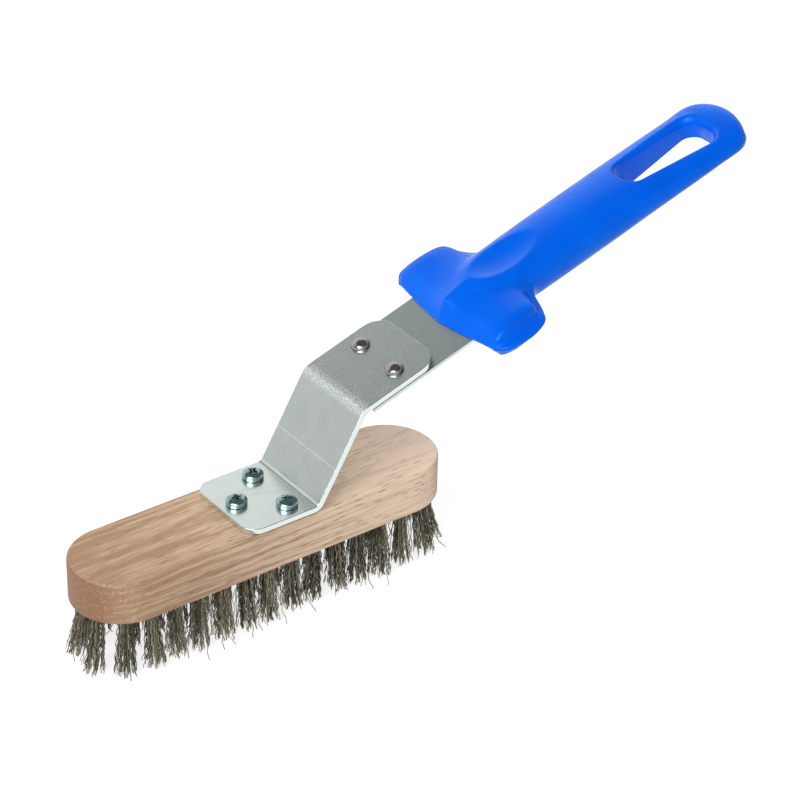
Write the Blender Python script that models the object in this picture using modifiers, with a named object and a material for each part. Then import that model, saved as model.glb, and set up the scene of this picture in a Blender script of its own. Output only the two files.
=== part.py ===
# Grill brush: wire tufts in a beech block, a bent bracket, a steel blade and a moulded handle.
#
# Lengths are in metres. The brush stands on its wire tips at z = 0. The block lies along X, and the
# handle climbs toward +X. The origin is the bottom centre of the whole brush.
# Blade and handle are drawn in a tilted frame: x runs up the handle, y across it, and z = 0 is the
# middle plane of the blade. The tables of shares are fractions of the named size beside them.

import math
import random

import bmesh
import bpy
from mathutils import Matrix, Vector

# Fits shared by all pieces
SEAT_GAP = 0.0003
SHANK_GAP = 0.00045
CUT_OVERRUN = 0.002
MERGE_DISTANCE = 0.000001

# Beech block
BLOCK_LENGTH = 0.168
BLOCK_WIDTH = 0.042
BLOCK_THICKNESS = 0.018
BLOCK_TOP_ROUND = 0.0012
BLOCK_BOTTOM_ROUND = 0.0006
BLOCK_CORNER_STEPS = 8

# Wire tufts
WIRE_HEIGHT = 0.026
TUFT_PITCH = 0.0108
TUFT_EDGE_MARGIN = 0.006
TUFT_ROOT_RADIUS = 0.0024
TUFT_ROOT_DEPTH = 0.008
TUFT_ROOT_SHOWS = 0.0008
TUFT_TIP_RADIUS = 0.0038
TUFT_SIDE_LEAN = 0.0008
TUFT_END_LEAN = 0.0045
STRANDS_PER_TUFT = 8
STRAND_SPACING = 0.00012
STRAND_WANDER = 0.00022
STRAND_CRIMP = 0.0005
STRAND_LEVEL_SHARES = (0.42, 1.0)
STRAND_TAPER_SHARE = 0.72
TUFT_HOLE_SIDES = 8

# Bent bracket
BRACKET_WIDTH = 0.040
BRACKET_THICKNESS = 0.0025
FOOT_START = -0.0171
FOOT_LENGTH = 0.0322
RISER_LENGTH = 0.0425
RISER_ANGLE = math.radians(59.7)
PLATE_LENGTH = 0.0387
HANDLE_ANGLE = math.radians(17.9)
FOOT_BEND_RADIUS = 0.0025
PLATE_BEND_RADIUS = 0.0032
FOOT_CORNER_RADIUS = 0.007
PLATE_CORNER_RADIUS = 0.009
BEND_STEPS = 5

# Pan head screws that hold the foot to the block
SCREW_HEAD_RADIUS = 0.0044
SCREW_HEAD_HEIGHT = 0.0031
SCREW_HEAD_FLANK = 0.0014
SCREW_SHANK_RADIUS = 0.0020
SCREW_LENGTH = 0.0115
SCREW_POINT_LENGTH = 0.004
SCREW_POINT_RADIUS = 0.0003
SCREW_BACK_X = 0.0059
SCREW_FRONT_X = -0.0098
SCREW_BACK_SPREAD = 0.0119
RECESS_REACH = 0.0024
RECESS_WIDTH = 0.0011
RECESS_DEPTH = 0.0018
RECESS_TAPER_SHARE = 0.55
TURNED_STEPS = 16

# Domed rivets that hold the blade under the bracket's plate
RIVET_HEAD_RADIUS = 0.0039
RIVET_HEAD_HEIGHT = 0.0026
RIVET_SHANK_RADIUS = 0.0020
RIVET_TAIL_RADIUS = 0.0032
RIVET_TAIL_HEIGHT = 0.0013
RIVET_END_MARGIN = 0.0165
RIVET_SPREAD = 0.0113

# Steel blade
BLADE_WIDTH = 0.040
BLADE_THICKNESS = 0.0015
BLADE_SETBACK = 0.0045
BLADE_CORNER_RADIUS = 0.0015
BLADE_SHOULDER_IN_GUARD = 0.012
TANG_WIDTH = 0.020
TANG_LENGTH = 0.078
TANG_CORNER_RADIUS = 0.004

# Moulded handle
GUARD_TO_PLATE = 0.0136
HANDLE_LENGTH = 0.1587
GUARD_LENGTH = 0.0344
GUARD_LIP_HALF = 0.0369
GUARD_TOP_HALF = 0.0320
GUARD_RIDGE_HEIGHT = 0.0104
GUARD_EDGE_HEIGHT = 0.0064
GUARD_LIP_HEIGHT = 0.0014
GUARD_FRONT_SAG = 0.0040
GUARD_FRONT_RUN = 0.0066
GUARD_TIP_LEAD = 0.0010
GUARD_RIDGE_LEAD = 0.0006
GUARD_LEAD_FADE = 0.0048
GUARD_UNDER_SETBACK = 0.0016
GUARD_NOSE_HALF = 0.0312
NOSE_POINT_SHARE = 0.6
WING_SPREAD_POWER = 3.5
WING_STEPS = 8
SCALLOP_WALL_SHARE = 0.16
SCALLOP_LEVEL_SHARE = 0.30
SCALLOP_FOOT_SHARE = 0.38
SCALLOP_FOOT_LEVEL_SHARE = 0.10
LIP_TOP_SHARE = 0.08
LIP_UNDER_SHARE = 0.25
NECK_ROUND_SHARE = 0.3
WING_FILLET = 0.0014
NECK_FILLET = 0.0060
GRIP_HALF_WIDTH = 0.0170
GRIP_RISE = 0.0106
GRIP_SECTION_POWER = 2.25
END_SAG = 0.0056
RING_STEPS_TOP = 10
RING_STEP_POWER = 0.8

# Thumb scoop and hang slot in the handle
SCOOP_START = 0.0193
SCOOP_LENGTH = 0.0350
SCOOP_WIDTH = 0.0158
SCOOP_DEPTH = 0.0026
SCOOP_TOOL_HALF_HEIGHT = 0.012
SLOT_END_MARGIN = 0.0137
SLOT_LENGTH = 0.0460
SLOT_START_HALF = 0.0074
SLOT_END_HALF = 0.0094
SLOT_START_RADIUS = 0.0060
SLOT_END_RADIUS = 0.0065
SLOT_DRAFT_SHARE = 1.035
SLOT_RIM_ROUND = 0.0016
SLOT_RIM_ANGLE = math.radians(50)
SLOT_RIM_STEPS = 2
SLOT_CORNER_STEPS = 5

# Along the guard: how far along its length, then lip, top edge, ridge height, edge height and
# lip height
GUARD_SHARES = (
    (0.000, 0.890, 0.994, 0.800, 0.600, 1.00),
    (0.192, 0.913, 0.994, 0.840, 0.665, 1.00),
    (0.220, 0.954, 0.994, 0.865, 0.760, 1.00),
    (0.250, 0.978, 0.994, 0.890, 0.850, 1.00),
    (0.290, 0.995, 0.994, 0.915, 0.930, 1.00),
    (0.340, 1.005, 0.994, 0.950, 1.000, 1.00),
    (0.400, 1.014, 0.992, 0.980, 1.060, 1.00),
    (0.460, 1.018, 0.985, 1.010, 1.100, 1.00),
    (0.580, 1.018, 0.975, 1.040, 1.120, 1.00),
    (0.700, 0.994, 0.962, 1.020, 1.070, 1.00),
    (0.780, 0.965, 0.938, 0.990, 1.000, 1.00),
    (0.820, 0.942, 0.900, 0.970, 0.940, 1.00),
    (0.850, 0.915, 0.820, 0.950, 0.880, 1.00),
    (0.880, 0.878, 0.710, 0.930, 0.800, 1.00),
    (0.930, 0.805, 0.580, 0.890, 0.680, 1.10),
    (0.965, 0.700, 0.500, 0.850, 0.600, 1.40),
    (1.000, 0.595, 0.430, 0.800, 0.540, 1.80),
    (1.035, 0.540, 0.380, 0.720, 0.520, 2.20),
    (1.100, 0.465, 0.330, 0.600, 0.520, 2.30),
    (1.200, 0.300, 0.200, 0.400, 0.400, 1.80),
)

# Along the handle: how far along its length, then the grip's half width, rise above the blade
# and drop below it
GRIP_SHARES = (
    (0.000, 0.10, 0.40, 0.40),
    (0.048, 0.14, 0.50, 0.50),
    (0.075, 0.30, 0.66, 0.62),
    (0.101, 0.52, 0.86, 0.76),
    (0.126, 0.72, 1.00, 0.86),
    (0.157, 0.86, 1.04, 0.90),
    (0.189, 0.93, 1.05, 0.91),
    (0.227, 0.955, 1.04, 0.91),
    (0.284, 0.970, 1.02, 0.90),
    (0.378, 0.995, 1.00, 0.86),
    (0.504, 1.020, 0.96, 0.80),
    (0.617, 1.050, 0.88, 0.71),
    (0.693, 1.070, 0.81, 0.66),
    (0.769, 1.090, 0.75, 0.61),
    (0.844, 1.105, 0.66, 0.56),
    (0.895, 1.125, 0.60, 0.49),
    (0.932, 1.140, 0.59, 0.45),
    (0.955, 1.140, 0.61, 0.45),
    (0.975, 1.115, 0.59, 0.45),
    (0.988, 1.060, 0.53, 0.42),
    (0.996, 0.990, 0.42, 0.35),
    (1.000, 0.930, 0.26, 0.24),
)

# Where the handle's cross sections are cut behind the first, as shares of the handle's length
STATION_SHARES = (
    0.048, 0.054, 0.063, 0.074, 0.087, 0.100, 0.126, 0.152, 0.169, 0.178, 0.184, 0.191, 0.201,
    0.209, 0.217, 0.224, 0.238, 0.260, 0.283, 0.310, 0.350, 0.410, 0.480, 0.550, 0.610, 0.660,
    0.710, 0.760, 0.810, 0.855, 0.895, 0.928, 0.955, 0.975, 0.988, 0.996, 1.000,
)

block_bottom = WIRE_HEIGHT
block_top = block_bottom + BLOCK_THICKNESS
foot_top = block_top + SEAT_GAP + BRACKET_THICKNESS
blade_middle = -(BRACKET_THICKNESS + SEAT_GAP + BLADE_THICKNESS / 2)
guard_front = PLATE_LENGTH + GUARD_TO_PLATE
slot_start = guard_front + HANDLE_LENGTH - SLOT_END_MARGIN - SLOT_LENGTH
slot_middle_share = 1 - (SLOT_END_MARGIN + SLOT_LENGTH / 2) / HANDLE_LENGTH


def clear_scene():
    for scene_object in list(bpy.data.objects):
        bpy.data.objects.remove(scene_object, do_unlink=True)


def new_collection(name):
    collection = bpy.data.collections.new(name)
    bpy.context.scene.collection.children.link(collection)
    return collection


def new_material(name, colour, roughness, metallic):
    material = bpy.data.materials.new(name)
    material.use_nodes = True
    shader = material.node_tree.nodes["Principled BSDF"]
    shader.inputs["Base Color"].default_value = (*colour, 1.0)
    shader.inputs["Roughness"].default_value = roughness
    shader.inputs["Metallic"].default_value = metallic
    material.diffuse_color = (*colour, 1.0)
    return material


def new_part(name, bm, material, collection, parent, smooth_angle=None):
    """Turn a bmesh into a named object that hangs under the given empty."""
    bmesh.ops.recalc_face_normals(bm, faces=bm.faces[:])
    mesh = bpy.data.meshes.new(name)
    bm.to_mesh(mesh)
    bm.free()
    if smooth_angle is not None:
        mesh.shade_smooth()
        mesh.set_sharp_from_angle(angle=smooth_angle)
    part = bpy.data.objects.new(name, mesh)
    collection.objects.link(part)
    part.parent = parent
    if material is not None:
        mesh.materials.append(material)
    return part


def new_cutter(name, bm, parent):
    cutter = new_part(name, bm, None, cutters, parent)
    cutter.hide_render = True
    cutter.display_type = "WIRE"
    return cutter


def cut(part, cutter):
    modifier = part.modifiers.new("Cut " + cutter.name, "BOOLEAN")
    modifier.operation = "DIFFERENCE"
    modifier.solver = "EXACT"
    modifier.object = cutter


def rounded_outline(corners, radii, steps):
    """Outline of a polygon whose corners are replaced by tangent arcs."""
    points = []
    count = len(corners)
    for index, corner in enumerate(corners):
        here = Vector(corner)
        before = (Vector(corners[index - 1]) - here).normalized()
        after = (Vector(corners[(index + 1) % count]) - here).normalized()
        radius = radii[index]
        if radius == 0:
            points.append(here)
            continue
        half_angle = before.angle(after) / 2
        reach = radius / math.tan(half_angle)
        centre = here + (before + after).normalized() * (radius / math.sin(half_angle))
        start = here + before * reach - centre
        turn = start.angle_signed(here + after * reach - centre)
        for step in range(steps + 1):
            angle = -turn * step / steps
            cosine = math.cos(angle)
            sine = math.sin(angle)
            spoke = Vector((start.x * cosine - start.y * sine, start.x * sine + start.y * cosine))
            points.append(centre + spoke)
    return points


def extruded_outline(points, low, high):
    """Solid between two levels of z over a flat outline."""
    bm = bmesh.new()
    floor = bm.faces.new([bm.verts.new((point.x, point.y, low)) for point in points])
    raised = bmesh.ops.extrude_face_region(bm, geom=[floor])
    lifted = [item for item in raised["geom"] if isinstance(item, bmesh.types.BMVert)]
    bmesh.ops.translate(bm, verts=lifted, vec=(0, 0, high - low))
    bmesh.ops.remove_doubles(bm, verts=bm.verts[:], dist=MERGE_DISTANCE)
    bmesh.ops.recalc_face_normals(bm, faces=bm.faces[:])
    return bm


def bevel_edges(bm, edges, width, segments):
    bmesh.ops.bevel(
        bm, geom=edges, offset=width, segments=segments, profile=0.5, affect="EDGES",
        clamp_overlap=True, material=-1,
    )


def blend_rows(table, share):
    """Row of a table at a share along it, on straight lines between its rows."""
    if share <= table[0][0]:
        return table[0][1:]
    for low, high in zip(table, table[1:]):
        if share <= high[0]:
            part = (share - low[0]) / (high[0] - low[0])
            return [a + (b - a) * part for a, b in zip(low[1:], high[1:])]
    return table[-1][1:]


def build_block(collection, parent, holes):
    """Beech block: a plank with half round ends, its top edge rounded, drilled for the tufts."""
    half_length = BLOCK_LENGTH / 2
    half_width = BLOCK_WIDTH / 2
    corners = (
        (-half_length, -half_width), (half_length, -half_width),
        (half_length, half_width), (-half_length, half_width),
    )
    outline = rounded_outline(corners, (half_width,) * len(corners), BLOCK_CORNER_STEPS)
    bm = extruded_outline(outline, block_bottom, block_top)
    for level, width, segments in (
        (block_top, BLOCK_TOP_ROUND, 3),
        (block_bottom, BLOCK_BOTTOM_ROUND, 1),
    ):
        rim = [
            edge for edge in bm.edges
            if all(abs(vert.co.z - level) < MERGE_DISTANCE for vert in edge.verts)
        ]
        bevel_edges(bm, rim, width, segments)
    beech = new_material("beech", (0.55, 0.37, 0.23), 0.55, 0.0)
    block = new_part("beech_block", bm, beech, collection, parent, math.radians(35))
    cut(block, holes)
    return block


def drilled_holes(name, parent, places, radius, low, high, sides):
    """One cutter with a round peg at each place."""
    bm = bmesh.new()
    for place in places:
        middle = Matrix.Translation((place[0], place[1], (low + high) / 2))
        bmesh.ops.create_cone(
            bm, cap_ends=True, segments=sides, radius1=radius, radius2=radius,
            depth=high - low, matrix=middle,
        )
    return new_cutter(name, bm, parent)


def tuft_places():
    """Centre of each tuft and the way it leans: a ring inside the block's rim, and a middle row."""
    ring_radius = BLOCK_WIDTH / 2 - TUFT_EDGE_MARGIN
    straight = BLOCK_LENGTH - BLOCK_WIDTH
    girth = 2 * straight + 2 * math.pi * ring_radius
    count = 4 * round(girth / TUFT_PITCH / 4)
    pitch = girth / count
    ring = []
    for index in range(count):
        along = ((index + 0.5) * pitch + straight / 2) % girth
        side, rest = divmod(along, girth / 2)
        sign = 1 if side == 0 else -1
        if rest < straight:
            place = Vector((rest - straight / 2, -ring_radius, 0))
            outward = Vector((0, -1, 0))
        else:
            angle = (rest - straight) / ring_radius
            outward = Vector((math.sin(angle), -math.cos(angle), 0))
            place = Vector((straight / 2, 0, 0)) + outward * ring_radius
        ring.append((place * sign, outward * sign))
    row_count = 2 * math.floor(straight / 2 / pitch + 0.5)
    row = [
        (Vector(((index - (row_count - 1) / 2) * pitch, 0, 0)), Vector((0, 0, 0)))
        for index in range(row_count)
    ]
    return ring, row


def build_tuft(name, place, outward, seed, material, collection, parent):
    """Wire tuft: a bound root for the block's hole, then strands that open toward the tips."""
    chance = random.Random(seed)
    root_top = block_bottom + TUFT_ROOT_DEPTH
    root_bottom = block_bottom - TUFT_ROOT_SHOWS
    strand_length = root_bottom
    bm = bmesh.new()
    bmesh.ops.create_cone(
        bm, cap_ends=True, cap_tris=True, segments=STRANDS_PER_TUFT,
        radius1=TUFT_ROOT_RADIUS, radius2=TUFT_ROOT_RADIUS, depth=root_top - root_bottom,
        matrix=Matrix.Translation((place.x, place.y, (root_top + root_bottom) / 2)),
    )
    roots = [face for face in bm.faces if face.normal.z < -0.5]
    bmesh.ops.inset_individual(bm, faces=roots, thickness=STRAND_SPACING, use_even_offset=True)
    lean = outward * (TUFT_SIDE_LEAN + (TUFT_END_LEAN - TUFT_SIDE_LEAN) * abs(outward.x))
    for root in roots:
        start = root.calc_center_median()
        spoke = Vector((start.x - place.x, start.y - place.y, 0))
        around = Vector((-spoke.y, spoke.x, 0)).normalized()
        tip = place + lean + spoke.normalized() * (TUFT_TIP_RADIUS - chance.random() * STRAND_WANDER)
        tip += around * chance.uniform(-STRAND_WANDER, STRAND_WANDER)
        crimp = around * chance.uniform(-STRAND_CRIMP, STRAND_CRIMP)
        strand = root
        for level in STRAND_LEVEL_SHARES:
            strand = bmesh.ops.extrude_discrete_faces(bm, faces=[strand])["faces"][0]
            here = strand.calc_center_median()
            opening = level * level * (tip - start) + crimp * math.sin(math.pi * level)
            there = Vector((start.x + opening.x, start.y + opening.y, root_bottom - strand_length * level))
            for vert in strand.verts:
                spread = (vert.co - here) * STRAND_TAPER_SHARE
                vert.co = (there.x + spread.x, there.y + spread.y, there.z)
    return new_part(name, bm, material, collection, parent)


def bracket_outline():
    """Side view of the bracket: foot, riser and plate, with a bend between each pair."""
    along_foot = Vector((1, 0))
    along_riser = Vector((math.cos(RISER_ANGLE), math.sin(RISER_ANGLE)))
    along_plate = Vector((math.cos(HANDLE_ANGLE), math.sin(HANDLE_ANGLE)))
    top = [Vector((FOOT_START, foot_top))]
    top.append(top[-1] + along_foot * FOOT_LENGTH)
    top.append(top[-1] + along_riser * RISER_LENGTH)
    top.append(top[-1] + along_plate * PLATE_LENGTH)
    under_foot = Vector((0, -BRACKET_THICKNESS))
    under_riser = Vector((along_riser.y, -along_riser.x)) * BRACKET_THICKNESS
    under_plate = Vector((along_plate.y, -along_plate.x)) * BRACKET_THICKNESS
    foot_shift = BRACKET_THICKNESS * math.tan(RISER_ANGLE / 2)
    plate_shift = BRACKET_THICKNESS * math.tan((RISER_ANGLE - HANDLE_ANGLE) / 2)
    under = [
        top[0] + under_foot,
        top[1] + under_foot + along_foot * foot_shift,
        top[2] + under_riser - along_riser * plate_shift,
        top[3] + under_plate,
    ]
    wide_foot = FOOT_BEND_RADIUS + BRACKET_THICKNESS
    wide_plate = PLATE_BEND_RADIUS + BRACKET_THICKNESS
    corners = [tuple(point) for point in under + top[::-1]]
    radii = (0, wide_foot, PLATE_BEND_RADIUS, 0, 0, wide_plate, FOOT_BEND_RADIUS, 0)
    return rounded_outline(corners, radii, BEND_STEPS), top[2]


def build_bracket(collection, parent, foot_holes, plate_holes):
    """Bracket: a strip of aluminium flat bar with two bends and rounded corners."""
    outline, _ = bracket_outline()
    half_width = BRACKET_WIDTH / 2
    bm = extruded_outline(outline, -half_width, half_width)
    bmesh.ops.rotate(bm, verts=bm.verts[:], matrix=Matrix.Rotation(math.pi / 2, 3, "X"))
    low_end = min(vert.co.x for vert in bm.verts)
    high_end = max(vert.co.x for vert in bm.verts)
    foot_corners = []
    plate_corners = []
    for edge in bm.edges:
        first, second = edge.verts
        if abs(first.co.y - second.co.y) > MERGE_DISTANCE:
            continue
        if max(abs(first.co.x - low_end), abs(second.co.x - low_end)) < MERGE_DISTANCE:
            foot_corners.append(edge)
        elif max(first.co.x, second.co.x) > high_end - MERGE_DISTANCE:
            across = (first.co - second.co).length
            if abs(across - BRACKET_THICKNESS) < MERGE_DISTANCE:
                plate_corners.append(edge)
    bevel_edges(bm, plate_corners, PLATE_CORNER_RADIUS, BEND_STEPS)
    foot_corners = [edge for edge in foot_corners if edge.is_valid]
    bevel_edges(bm, foot_corners, FOOT_CORNER_RADIUS, BEND_STEPS)
    aluminium = new_material("satin_aluminium", (0.62, 0.66, 0.64), 0.42, 1.0)
    bracket = new_part("bent_bracket", bm, aluminium, collection, parent, math.radians(30))
    cut(bracket, foot_holes)
    cut(bracket, plate_holes)
    return bracket


def turned_part(name, profile, material, collection, parent, location):
    """Solid of revolution about z from a profile that runs down its outer side."""
    mesh = bpy.data.meshes.new(name)
    edges = [(index, index + 1) for index in range(len(profile) - 1)]
    mesh.from_pydata([(radius, 0, height) for radius, height in profile], edges, [])
    part = bpy.data.objects.new(name, mesh)
    collection.objects.link(part)
    part.parent = parent
    part.location = location
    mesh.materials.append(material)
    screw = part.modifiers.new("Turn", "SCREW")
    screw.axis = "Z"
    screw.angle = 2 * math.pi
    screw.steps = TURNED_STEPS
    screw.render_steps = TURNED_STEPS
    screw.use_merge_vertices = True
    screw.merge_threshold = MERGE_DISTANCE
    screw.use_smooth_shade = True
    return part


def dome_profile(radius, height, flank, steps):
    """Points from the crown of a low dome down to the foot of its upright flank."""
    points = [(0, height)]
    for step in range(1, steps + 1):
        angle = math.pi / 2 * step / steps
        points.append((radius * math.sin(angle), flank + (height - flank) * math.cos(angle)))
    points.append((radius, 0))
    return points


def recess_cutter(name, location, parent):
    """Cross shaped driver recess that narrows with depth."""
    reach = RECESS_REACH
    half = RECESS_WIDTH / 2
    outline = [
        Vector(point) for point in (
            (reach, -half), (reach, half), (half, half), (half, reach), (-half, reach), (-half, half),
            (-reach, half), (-reach, -half), (-half, -half), (-half, -reach), (half, -reach), (half, -half),
        )
    ]
    top = SCREW_HEAD_HEIGHT + CUT_OVERRUN
    floor = SCREW_HEAD_HEIGHT - RECESS_DEPTH
    bm = extruded_outline(outline, floor, top)
    for vert in bm.verts:
        if vert.co.z < (floor + top) / 2:
            vert.co.x *= RECESS_TAPER_SHARE
            vert.co.y *= RECESS_TAPER_SHARE
    cutter = new_cutter(name, bm, parent)
    cutter.location = location
    return cutter


def build_screws(collection, parent):
    """Three zinc plated pan head wood screws through the bracket's foot."""
    zinc = new_material("zinc_plate", (0.60, 0.68, 0.70), 0.22, 1.0)
    shank_end = -SCREW_LENGTH
    profile = dome_profile(SCREW_HEAD_RADIUS, SCREW_HEAD_HEIGHT, SCREW_HEAD_FLANK, 4)
    profile += [
        (SCREW_SHANK_RADIUS, 0),
        (SCREW_SHANK_RADIUS, shank_end + SCREW_POINT_LENGTH),
        (SCREW_POINT_RADIUS, shank_end),
        (0, shank_end),
    ]
    seat = foot_top + SEAT_GAP
    for name, place in screw_places.items():
        location = (place[0], place[1], seat)
        screw = turned_part(name, profile, zinc, collection, parent, location)
        cut(screw, recess_cutter("recess_of_" + name, location, parent))


def build_rivets(collection, parent):
    """Two domed rivets through plate and blade, with a flattened tail below."""
    nickel = new_material("bright_rivet", (0.75, 0.74, 0.72), 0.12, 1.0)
    grip = BRACKET_THICKNESS + BLADE_THICKNESS + SEAT_GAP * 3
    profile = dome_profile(RIVET_HEAD_RADIUS, RIVET_HEAD_HEIGHT, SEAT_GAP, 5)
    profile += [
        (RIVET_SHANK_RADIUS, 0),
        (RIVET_SHANK_RADIUS, -grip),
        (RIVET_TAIL_RADIUS, -grip),
        (RIVET_TAIL_RADIUS, -grip - RIVET_TAIL_HEIGHT / 2),
        (RIVET_SHANK_RADIUS, -grip - RIVET_TAIL_HEIGHT),
        (0, -grip - RIVET_TAIL_HEIGHT),
    ]
    seat = BLADE_THICKNESS / 2 + SEAT_GAP + BRACKET_THICKNESS + SEAT_GAP
    for name, place in rivet_places.items():
        turned_part(name, profile, nickel, collection, parent, (place[0], place[1], seat))


def blade_outline(spare):
    """Blade in plan: full width to its shoulders in the guard, then a narrow tang."""
    start = BLADE_SETBACK - spare
    shoulder = guard_front + BLADE_SHOULDER_IN_GUARD + spare
    end = guard_front + TANG_LENGTH + spare
    half = BLADE_WIDTH / 2 + spare
    tang = TANG_WIDTH / 2 + spare
    corners = (
        (start, -half), (shoulder, -half), (shoulder, -tang), (end, -tang),
        (end, tang), (shoulder, tang), (shoulder, half), (start, half),
    )
    edge = BLADE_CORNER_RADIUS
    inner = TANG_CORNER_RADIUS
    radii = (edge, edge, 0, inner, inner, 0, edge, edge)
    return rounded_outline(corners, radii, 4)


def build_blade(collection, parent, rivet_holes):
    """Blade: a flat steel strip that ends in a tang inside the handle."""
    bm = extruded_outline(blade_outline(0), -BLADE_THICKNESS / 2, BLADE_THICKNESS / 2)
    steel = new_material("blade_steel", (0.50, 0.53, 0.50), 0.38, 1.0)
    blade = new_part("steel_blade", bm, steel, collection, parent, math.radians(30))
    cut(blade, rivet_holes)
    return blade


def ray_to_polyline(direction, points):
    """Distance from the origin to a polyline along a unit direction."""
    best = 0
    for start, end in zip(points, points[1:]):
        side = end - start
        cross = direction.x * side.y - direction.y * side.x
        if cross == 0:
            continue
        distance = (start.x * side.y - start.y * side.x) / cross
        share = (start.x * direction.y - start.y * direction.x) / cross
        if distance > best and -0.001 <= share <= 1.001:
            best = distance
    return best


def smooth_larger(first, second, reach):
    """Larger of two lengths, with a fillet where they cross."""
    overlap = max(reach - abs(first - second), 0)
    return max(first, second) + overlap * overlap / (4 * reach)


def guard_section(station, underside):
    """Quarter section of the guard: ridge and wing, then the scallop's wall, its foot and the lip."""
    shares = blend_rows(GUARD_SHARES, station * HANDLE_LENGTH / GUARD_LENGTH)
    lip_half = shares[0] * GUARD_LIP_HALF
    top_half = shares[1] * GUARD_TOP_HALF
    edge_height = shares[3] * GUARD_EDGE_HEIGHT
    lip_height = shares[4] * GUARD_LIP_HEIGHT
    rise = shares[2] * GUARD_RIDGE_HEIGHT - edge_height
    drop = edge_height - lip_height
    step = lip_half - top_half
    bevel_share = LIP_UNDER_SHARE if underside else LIP_TOP_SHARE
    bevel = step * (bevel_share + NECK_ROUND_SHARE * (shares[4] - 1))
    wing = []
    for index in range(WING_STEPS):
        share = index / WING_STEPS
        height = edge_height + rise * (1 - share) ** WING_SPREAD_POWER
        wing.append(Vector((share * top_half, height)))
    return wing + [
        Vector((top_half, edge_height)),
        Vector((top_half + step * SCALLOP_WALL_SHARE, lip_height + drop * SCALLOP_LEVEL_SHARE)),
        Vector((top_half + step * SCALLOP_FOOT_SHARE, lip_height + drop * SCALLOP_FOOT_LEVEL_SHARE)),
        Vector((lip_half - bevel, lip_height)),
        Vector((lip_half, 0)),
    ]


def handle_quarter(station, underside):
    """Quarter section of the whole handle at a share of its length: (y, z) from middle to side."""
    guard = guard_section(station, underside)
    in_guard = station * HANDLE_LENGTH < GUARD_SHARES[-1][0] * GUARD_LENGTH
    width, rise, drop = blend_rows(GRIP_SHARES, station)
    half_width = width * GRIP_HALF_WIDTH
    half_height = (drop if underside else rise) * GRIP_RISE
    corner_angles = [math.atan2(point.x, point.y) for point in guard[WING_STEPS:]]
    steps = [
        corner_angles[0] * math.sin(math.pi / 2 * index / RING_STEPS_TOP) ** RING_STEP_POWER
        for index in range(RING_STEPS_TOP + 1)
    ]
    quarter = []
    for angle in steps + corner_angles[1:]:
        direction = Vector((math.sin(angle), math.cos(angle)))
        power = GRIP_SECTION_POWER
        spread = (direction.x / half_width) ** power + (abs(direction.y) / half_height) ** power
        radius = spread ** (-1 / power)
        if in_guard:
            side_share = (angle / math.radians(90)) ** 3
            fillet = WING_FILLET + (NECK_FILLET - WING_FILLET) * side_share
            radius = smooth_larger(radius, ray_to_polyline(direction, guard), fillet)
        quarter.append(direction * radius)
    quarter[0].x = 0
    quarter[-1].y = 0
    return quarter


def handle_ring(station):
    """Whole section at a share of the handle's length, as points along, across and above."""
    right = handle_quarter(station, False)
    below = handle_quarter(station, True)
    right += [Vector((point.x, -point.y)) for point in below[-2::-1]]
    left = [Vector((-point.x, point.y)) for point in right[-2:0:-1]]
    widest = max(point.x for point in right)
    end_share = max(station - slot_middle_share, 0) / (1 - slot_middle_share)
    behind_front = station * HANDLE_LENGTH - GUARD_FRONT_RUN
    lead_share = max(1 - behind_front / GUARD_LEAD_FADE, 0)
    ring = []
    for point in right + left:
        flank = min(abs(point.y) / (GUARD_SHARES[1][4] * GUARD_EDGE_HEIGHT), 1)
        lead = GUARD_TIP_LEAD * (1 - flank) + GUARD_RIDGE_LEAD * flank * (1 - abs(point.x) / widest)
        along = station * HANDLE_LENGTH - lead * lead_share
        along -= END_SAG * end_share * (point.x / GRIP_HALF_WIDTH) ** 2
        ring.append(Vector((guard_front + along, point.x, point.y)))
    return ring


def nose_ring(first):
    """The guard's front lip: the first section flattened and bowed to a blunt point."""
    widest = max(point.y for point in first)
    nose = []
    for point in first:
        share = abs(point.y / widest)
        bow = GUARD_FRONT_SAG * (share ** 2 + NOSE_POINT_SHARE * (share - share ** 2))
        bow += GUARD_UNDER_SETBACK * min(max(-point.z / GUARD_LIP_HEIGHT, 0), 1)
        level = math.copysign(min(abs(point.z), GUARD_LIP_HEIGHT), point.z)
        nose.append(Vector((guard_front + bow, point.y / widest * GUARD_NOSE_HALF, level)))
    return nose


def close_end(bm, loop):
    """Close one end of the handle with strips from its upper to its lower edge."""
    count = len(loop)
    for index in range(count):
        after = (index + 1) % count
        facing = (count // 2 - index) % count
        beside = (count // 2 - after) % count
        corners = list(dict.fromkeys((loop[index], loop[after], loop[beside], loop[facing])))
        if len(corners) > 2 and not bm.faces.get(corners):
            bm.faces.new(corners)


def build_handle(collection, parent, blade_pocket):
    """Handle: sections lofted from the guard's nose to the rounded end, then the cuts."""
    first = handle_ring(GUARD_FRONT_RUN / HANDLE_LENGTH)
    rings = [nose_ring(first), first]
    rings += [handle_ring(station) for station in STATION_SHARES]
    bm = bmesh.new()
    loops = [[bm.verts.new(point) for point in ring] for ring in rings]
    for low, high in zip(loops, loops[1:]):
        count = len(low)
        for index in range(count):
            after = (index + 1) % count
            bm.faces.new((low[index], low[after], high[after], high[index]))
    close_end(bm, loops[0])
    close_end(bm, loops[-1])
    blank = new_part("handle_blank", bm, None, cutters, parent)
    cut(blank, slot_cutter(parent))
    bm = rounded_slot(blank)
    bpy.data.objects.remove(blank)
    blue = new_material("blue_plastic", (0.005, 0.10, 0.75), 0.32, 0.0)
    handle = new_part("handle", bm, blue, collection, parent, math.radians(30))
    cut(handle, scoop_cutter(parent))
    cut(handle, blade_pocket)
    return handle


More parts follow.
